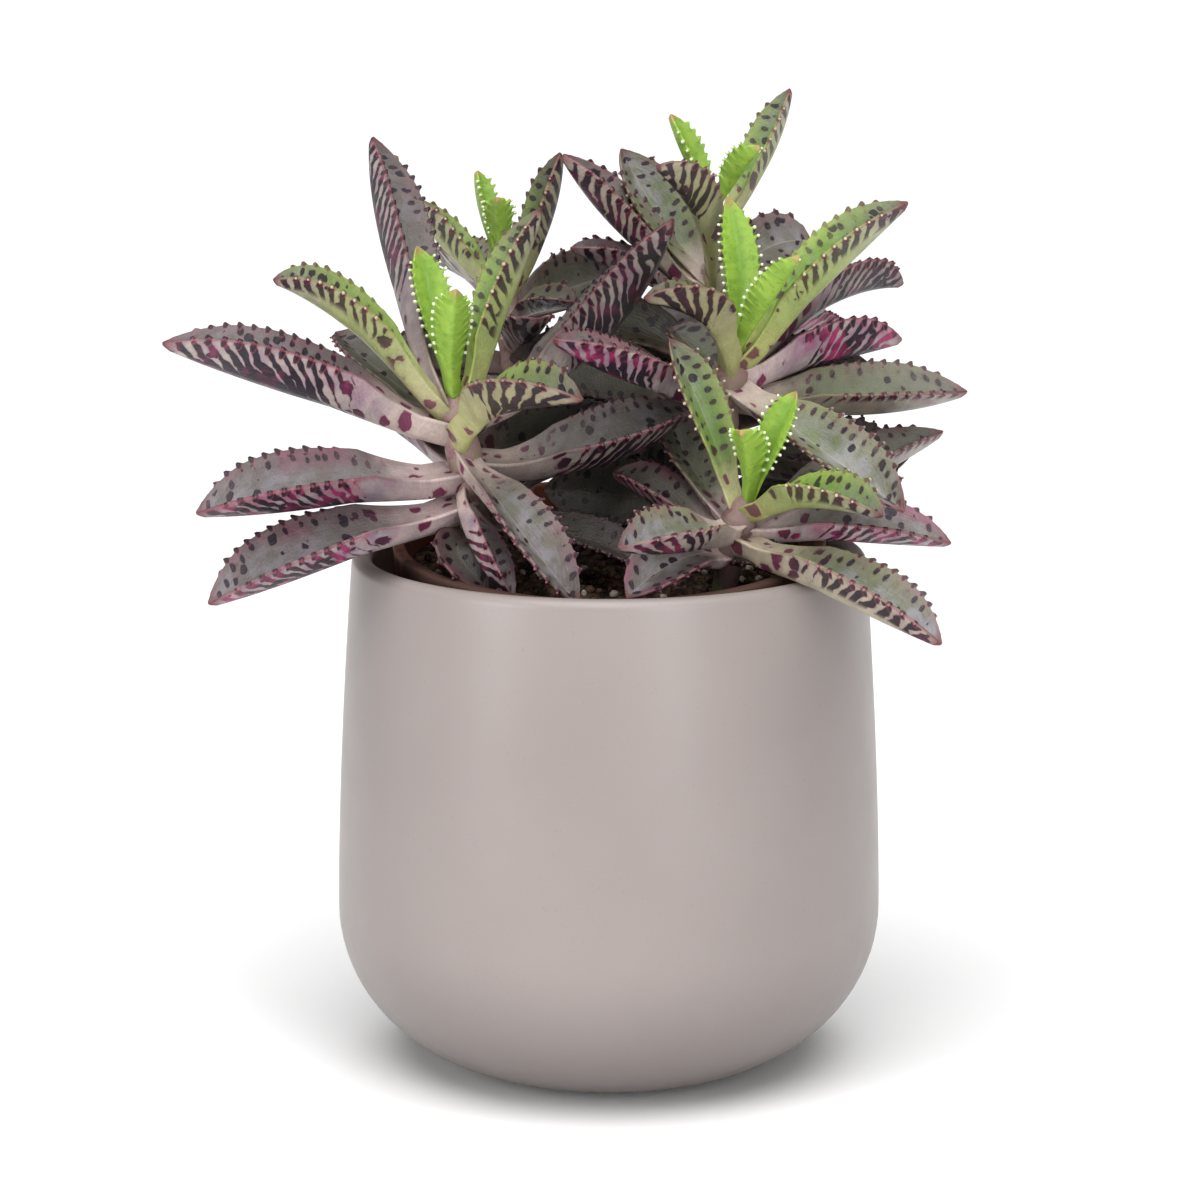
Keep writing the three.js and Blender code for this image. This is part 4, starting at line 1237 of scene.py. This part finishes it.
class NurseryPotOperator(bpy.types.Operator):
    """Build the leaning nursery pot"""
    bl_idname = "kalanchoe.nursery_pot"
    bl_label = "Nursery Pot"

    def execute(self, context):
        foot, wall, rim, top = NURSERY_FOOT_RADIUS, NURSERY_WALL, NURSERY_RIM_RADIUS, NURSERY_HEIGHT
        band = top - NURSERY_BAND_HEIGHT
        band_foot = nursery_radius(band)
        mouth = nursery_radius(top) - wall
        profile = [(NURSERY_DRAIN_RADIUS, 0), (foot - 1, 0), (foot, 0.8)]
        profile += [(nursery_radius(height), height) for height in np.linspace(2, band, 12)]
        profile += [
            (band_foot + NURSERY_BAND_STEP * 0.8, band + 0.4), (band_foot + NURSERY_BAND_STEP, band + 1),
            (rim - 0.1, top - 1), (rim - 0.3, top - 0.2), (rim - 0.9, top),
            (mouth + 0.5, top), (mouth + 0.1, top - 0.3), (mouth, top - 1),
        ]
        profile += [(nursery_radius(height) - wall, height) for height in np.linspace(top - 3, 2.6, 12)]
        profile += [(foot - wall - 0.8, wall), (NURSERY_DRAIN_RADIUS, wall), (NURSERY_DRAIN_RADIUS, 0)]
        material = terracotta_material(context.scene.kalanchoe_pots)
        lathe("nursery_pot_body", "nursery_pot", profile, NURSERY_SIDES, material, lean)
        return {"FINISHED"}


def soil_radius(height):
    """Radius of the potting mix at a height."""
    return nursery_radius(height) - NURSERY_WALL - SOIL_GAP


def soil_lump(x, y):
    """Height of the potting mix's lumps at a place, in millimetres."""
    coarse = math.sin(0.21 * x + 0.8) * math.cos(0.17 * y - 0.4) + 0.6 * math.sin(0.43 * y + 0.31 * x)
    fine = math.sin(1.3 * x + 2 * math.sin(0.7 * y)) * math.cos(1.1 * y + 1.7 * math.sin(0.6 * x))
    return SOIL_LUMP * (0.45 * coarse + 0.3 * fine)


class PottingMixOperator(bpy.types.Operator):
    """Build the potting mix with its crumbs and white grains"""
    bl_idname = "kalanchoe.potting_mix"
    bl_label = "Potting Mix"

    def execute(self, context):
        settings = context.scene.kalanchoe_pots
        reach = soil_radius(SOIL_TOP)
        profile = [(AXIS_RADIUS, SOIL_BOTTOM), (soil_radius(SOIL_BOTTOM), SOIL_BOTTOM)]
        profile += [(reach * ring / SOIL_RINGS, SOIL_TOP) for ring in range(SOIL_RINGS, 0, -1)]
        profile.append((AXIS_RADIUS, SOIL_TOP))

        def place(points):
            for point in points:
                inward = 0.98 * reach - math.hypot(point[0], point[1])
                if point[2] > SOIL_BOTTOM + 1 and inward > 0:
                    point[2] += soil_lump(point[0], point[1]) * min(1, inward / 3)
            return lean(points)

        peat = soil_material("Potting mix", settings.peat, settings.bark, 900.0)
        lathe("potting_mix_bed", "potting_mix", profile, SOIL_SIDES, peat, place)
        chance = random.Random(SCATTER_SEED)
        crumb = soil_material("Crumbs", settings.peat, settings.bark, 700.0)
        grain = soil_material("White grains", settings.perlite, settings.bark, 500.0)
        self.scatter("potting_mix_crumbs", chance, CRUMBS, CRUMB_SIZES, crumb, reach)
        self.scatter("potting_mix_grains", chance, GRAINS, GRAIN_SIZES, grain, reach)
        return {"FINISHED"}

    def scatter(self, name, chance, number, sizes, material, reach):
        """Rough stones strewn over the potting mix."""
        points, faces = [], []
        for _ in range(number):
            angle = chance.uniform(0, 2 * math.pi)
            flat = (reach - 2.5) * math.sqrt(chance.random())
            x, y = flat * math.cos(angle), flat * math.sin(angle)
            size = chance.uniform(*sizes)
            squash = np.array([chance.uniform(0.6, 1.3) for _ in range(3)])
            centre = np.array((x, y, SOIL_TOP + soil_lump(x, y) + 0.3 * size))
            start = len(points)
            for ring in range(STONE_RINGS):
                tilt = math.pi * (ring + 0.5) / STONE_RINGS
                for spin in turns(STONE_SIDES):
                    spin += 0.4 * ring
                    way = (math.sin(tilt) * math.cos(spin), math.sin(tilt) * math.sin(spin), math.cos(tilt))
                    points.append(centre + squash * size * chance.uniform(0.85, 1.12) * way)
            faces += [tuple(reversed(face)) for face in grid_faces(STONE_RINGS, STONE_SIDES, start)]
            faces.append(tuple(range(start, start + STONE_SIDES)))
            faces.append(tuple(reversed(range(len(points) - STONE_SIDES, len(points)))))
        add_object(name, lean(np.array(points)), faces, material, [])


class StudioOperator(bpy.types.Operator):
    """Set up the pale floor, the soft lights and the camera"""
    bl_idname = "kalanchoe.studio"
    bl_label = "Studio"

    def execute(self, context):
        settings = context.scene.kalanchoe_studio
        scene = context.scene
        scene.view_settings.view_transform = "Standard"
        world = bpy.data.worlds.new("Studio")
        world.use_nodes = True
        background = world.node_tree.nodes["Background"]
        background.inputs["Color"].default_value = settings.backdrop
        background.inputs["Strength"].default_value = settings.ambient
        scene.world = world

        mesh = bpy.data.meshes.new("floor")
        side, back = FLOOR_SIDE, FLOOR_BACK
        corners = [(-side, -side, 0), (side, -side, 0), (side, back, 0), (-side, back, 0)]
        mesh.from_pydata(corners, [], [(0, 1, 2, 3)])
        mesh.materials.append(backdrop_material(settings))
        floor = bpy.data.objects.new("floor", mesh)
        scene.collection.objects.link(floor)

        overhead = bpy.data.lights.new("light_overhead", "SUN")
        overhead.energy = settings.overhead
        overhead.angle = SUN_SPREAD
        self.add_lamp(scene, overhead, SUN_PLACE)
        for name, place, share in SOFT_BOXES:
            lamp = bpy.data.lights.new(name, "AREA")
            lamp.shape = "RECTANGLE"
            lamp.size, lamp.size_y = SOFT_BOX_SIZE
            lamp.energy = settings.softbox * share
            lamp.spread = SOFT_BOX_SPREAD
            self.add_lamp(scene, lamp, place)

        camera_data = bpy.data.cameras.new("camera")
        camera_data.lens = settings.lens
        camera_data.sensor_width = SENSOR_WIDTH
        camera = bpy.data.objects.new("camera", camera_data)
        camera.location = CAMERA_PLACE
        camera.rotation_euler = (math.pi / 2 - settings.elevation, 0, 0)
        scene.collection.objects.link(camera)
        scene.camera = camera
        return {"FINISHED"}

    def add_lamp(self, scene, lamp, place):
        """Stands a light at a place and turns it to the middle of the plant."""
        light = bpy.data.objects.new(lamp.name, lamp)
        light.location = place
        aim = np.array(LIGHTS_AIM) - np.array(place)
        light.rotation_euler = (math.atan2(math.hypot(aim[0], aim[1]), -aim[2]), 0,
                                math.atan2(aim[1], aim[0]) - math.pi / 2)
        scene.collection.objects.link(light)


class KalanchoePanel(bpy.types.Panel):
    """Lists the steps that build the plant"""
    bl_idname = "VIEW3D_PT_kalanchoe"
    bl_label = "Potted Kalanchoe"
    bl_space_type = "VIEW_3D"
    bl_region_type = "UI"
    bl_category = "Kalanchoe"

    def draw(self, context):
        """Shows a button for each step and the settings below them."""
        layout = self.layout
        for operator in OPERATORS:
            layout.operator(operator.bl_idname)
        for group in GROUPS:
            settings = getattr(context.scene, group)
            box = layout.box()
            for name in settings.__annotations__:
                box.prop(settings, name)


GROUPS = {
    "kalanchoe_leaves": LeafSettings,
    "kalanchoe_young": YoungLeafSettings,
    "kalanchoe_pots": PotSettings,
    "kalanchoe_studio": StudioSettings,
}
OPERATORS = (
    StudioOperator, CeramicPotOperator, NurseryPotOperator, PottingMixOperator, StemsOperator, LeavesOperator,
    YoungLeavesOperator,
)


def register():
    """Makes Blender know the settings, steps and panel."""
    for group in GROUPS.values():
        bpy.utils.register_class(group)
    for operator in OPERATORS:
        bpy.utils.register_class(operator)
    bpy.utils.register_class(KalanchoePanel)
    for name, group in GROUPS.items():
        setattr(bpy.types.Scene, name, bpy.props.PointerProperty(type=group))


def unregister():
    """Takes back what register did."""
    for name in GROUPS:
        delattr(bpy.types.Scene, name)
    bpy.utils.unregister_class(KalanchoePanel)
    for operator in reversed(OPERATORS):
        bpy.utils.unregister_class(operator)
    for group in GROUPS.values():
        bpy.utils.unregister_class(group)


def main():
    """Builds every piece and the studio."""
    register()
    bpy.ops.kalanchoe.studio()
    bpy.ops.kalanchoe.ceramic_pot()
    bpy.ops.kalanchoe.nursery_pot()
    bpy.ops.kalanchoe.potting_mix()
    bpy.ops.kalanchoe.stems()
    bpy.ops.kalanchoe.leaves()
    bpy.ops.kalanchoe.young_leaves()


if __name__ == "__main__":
    main()
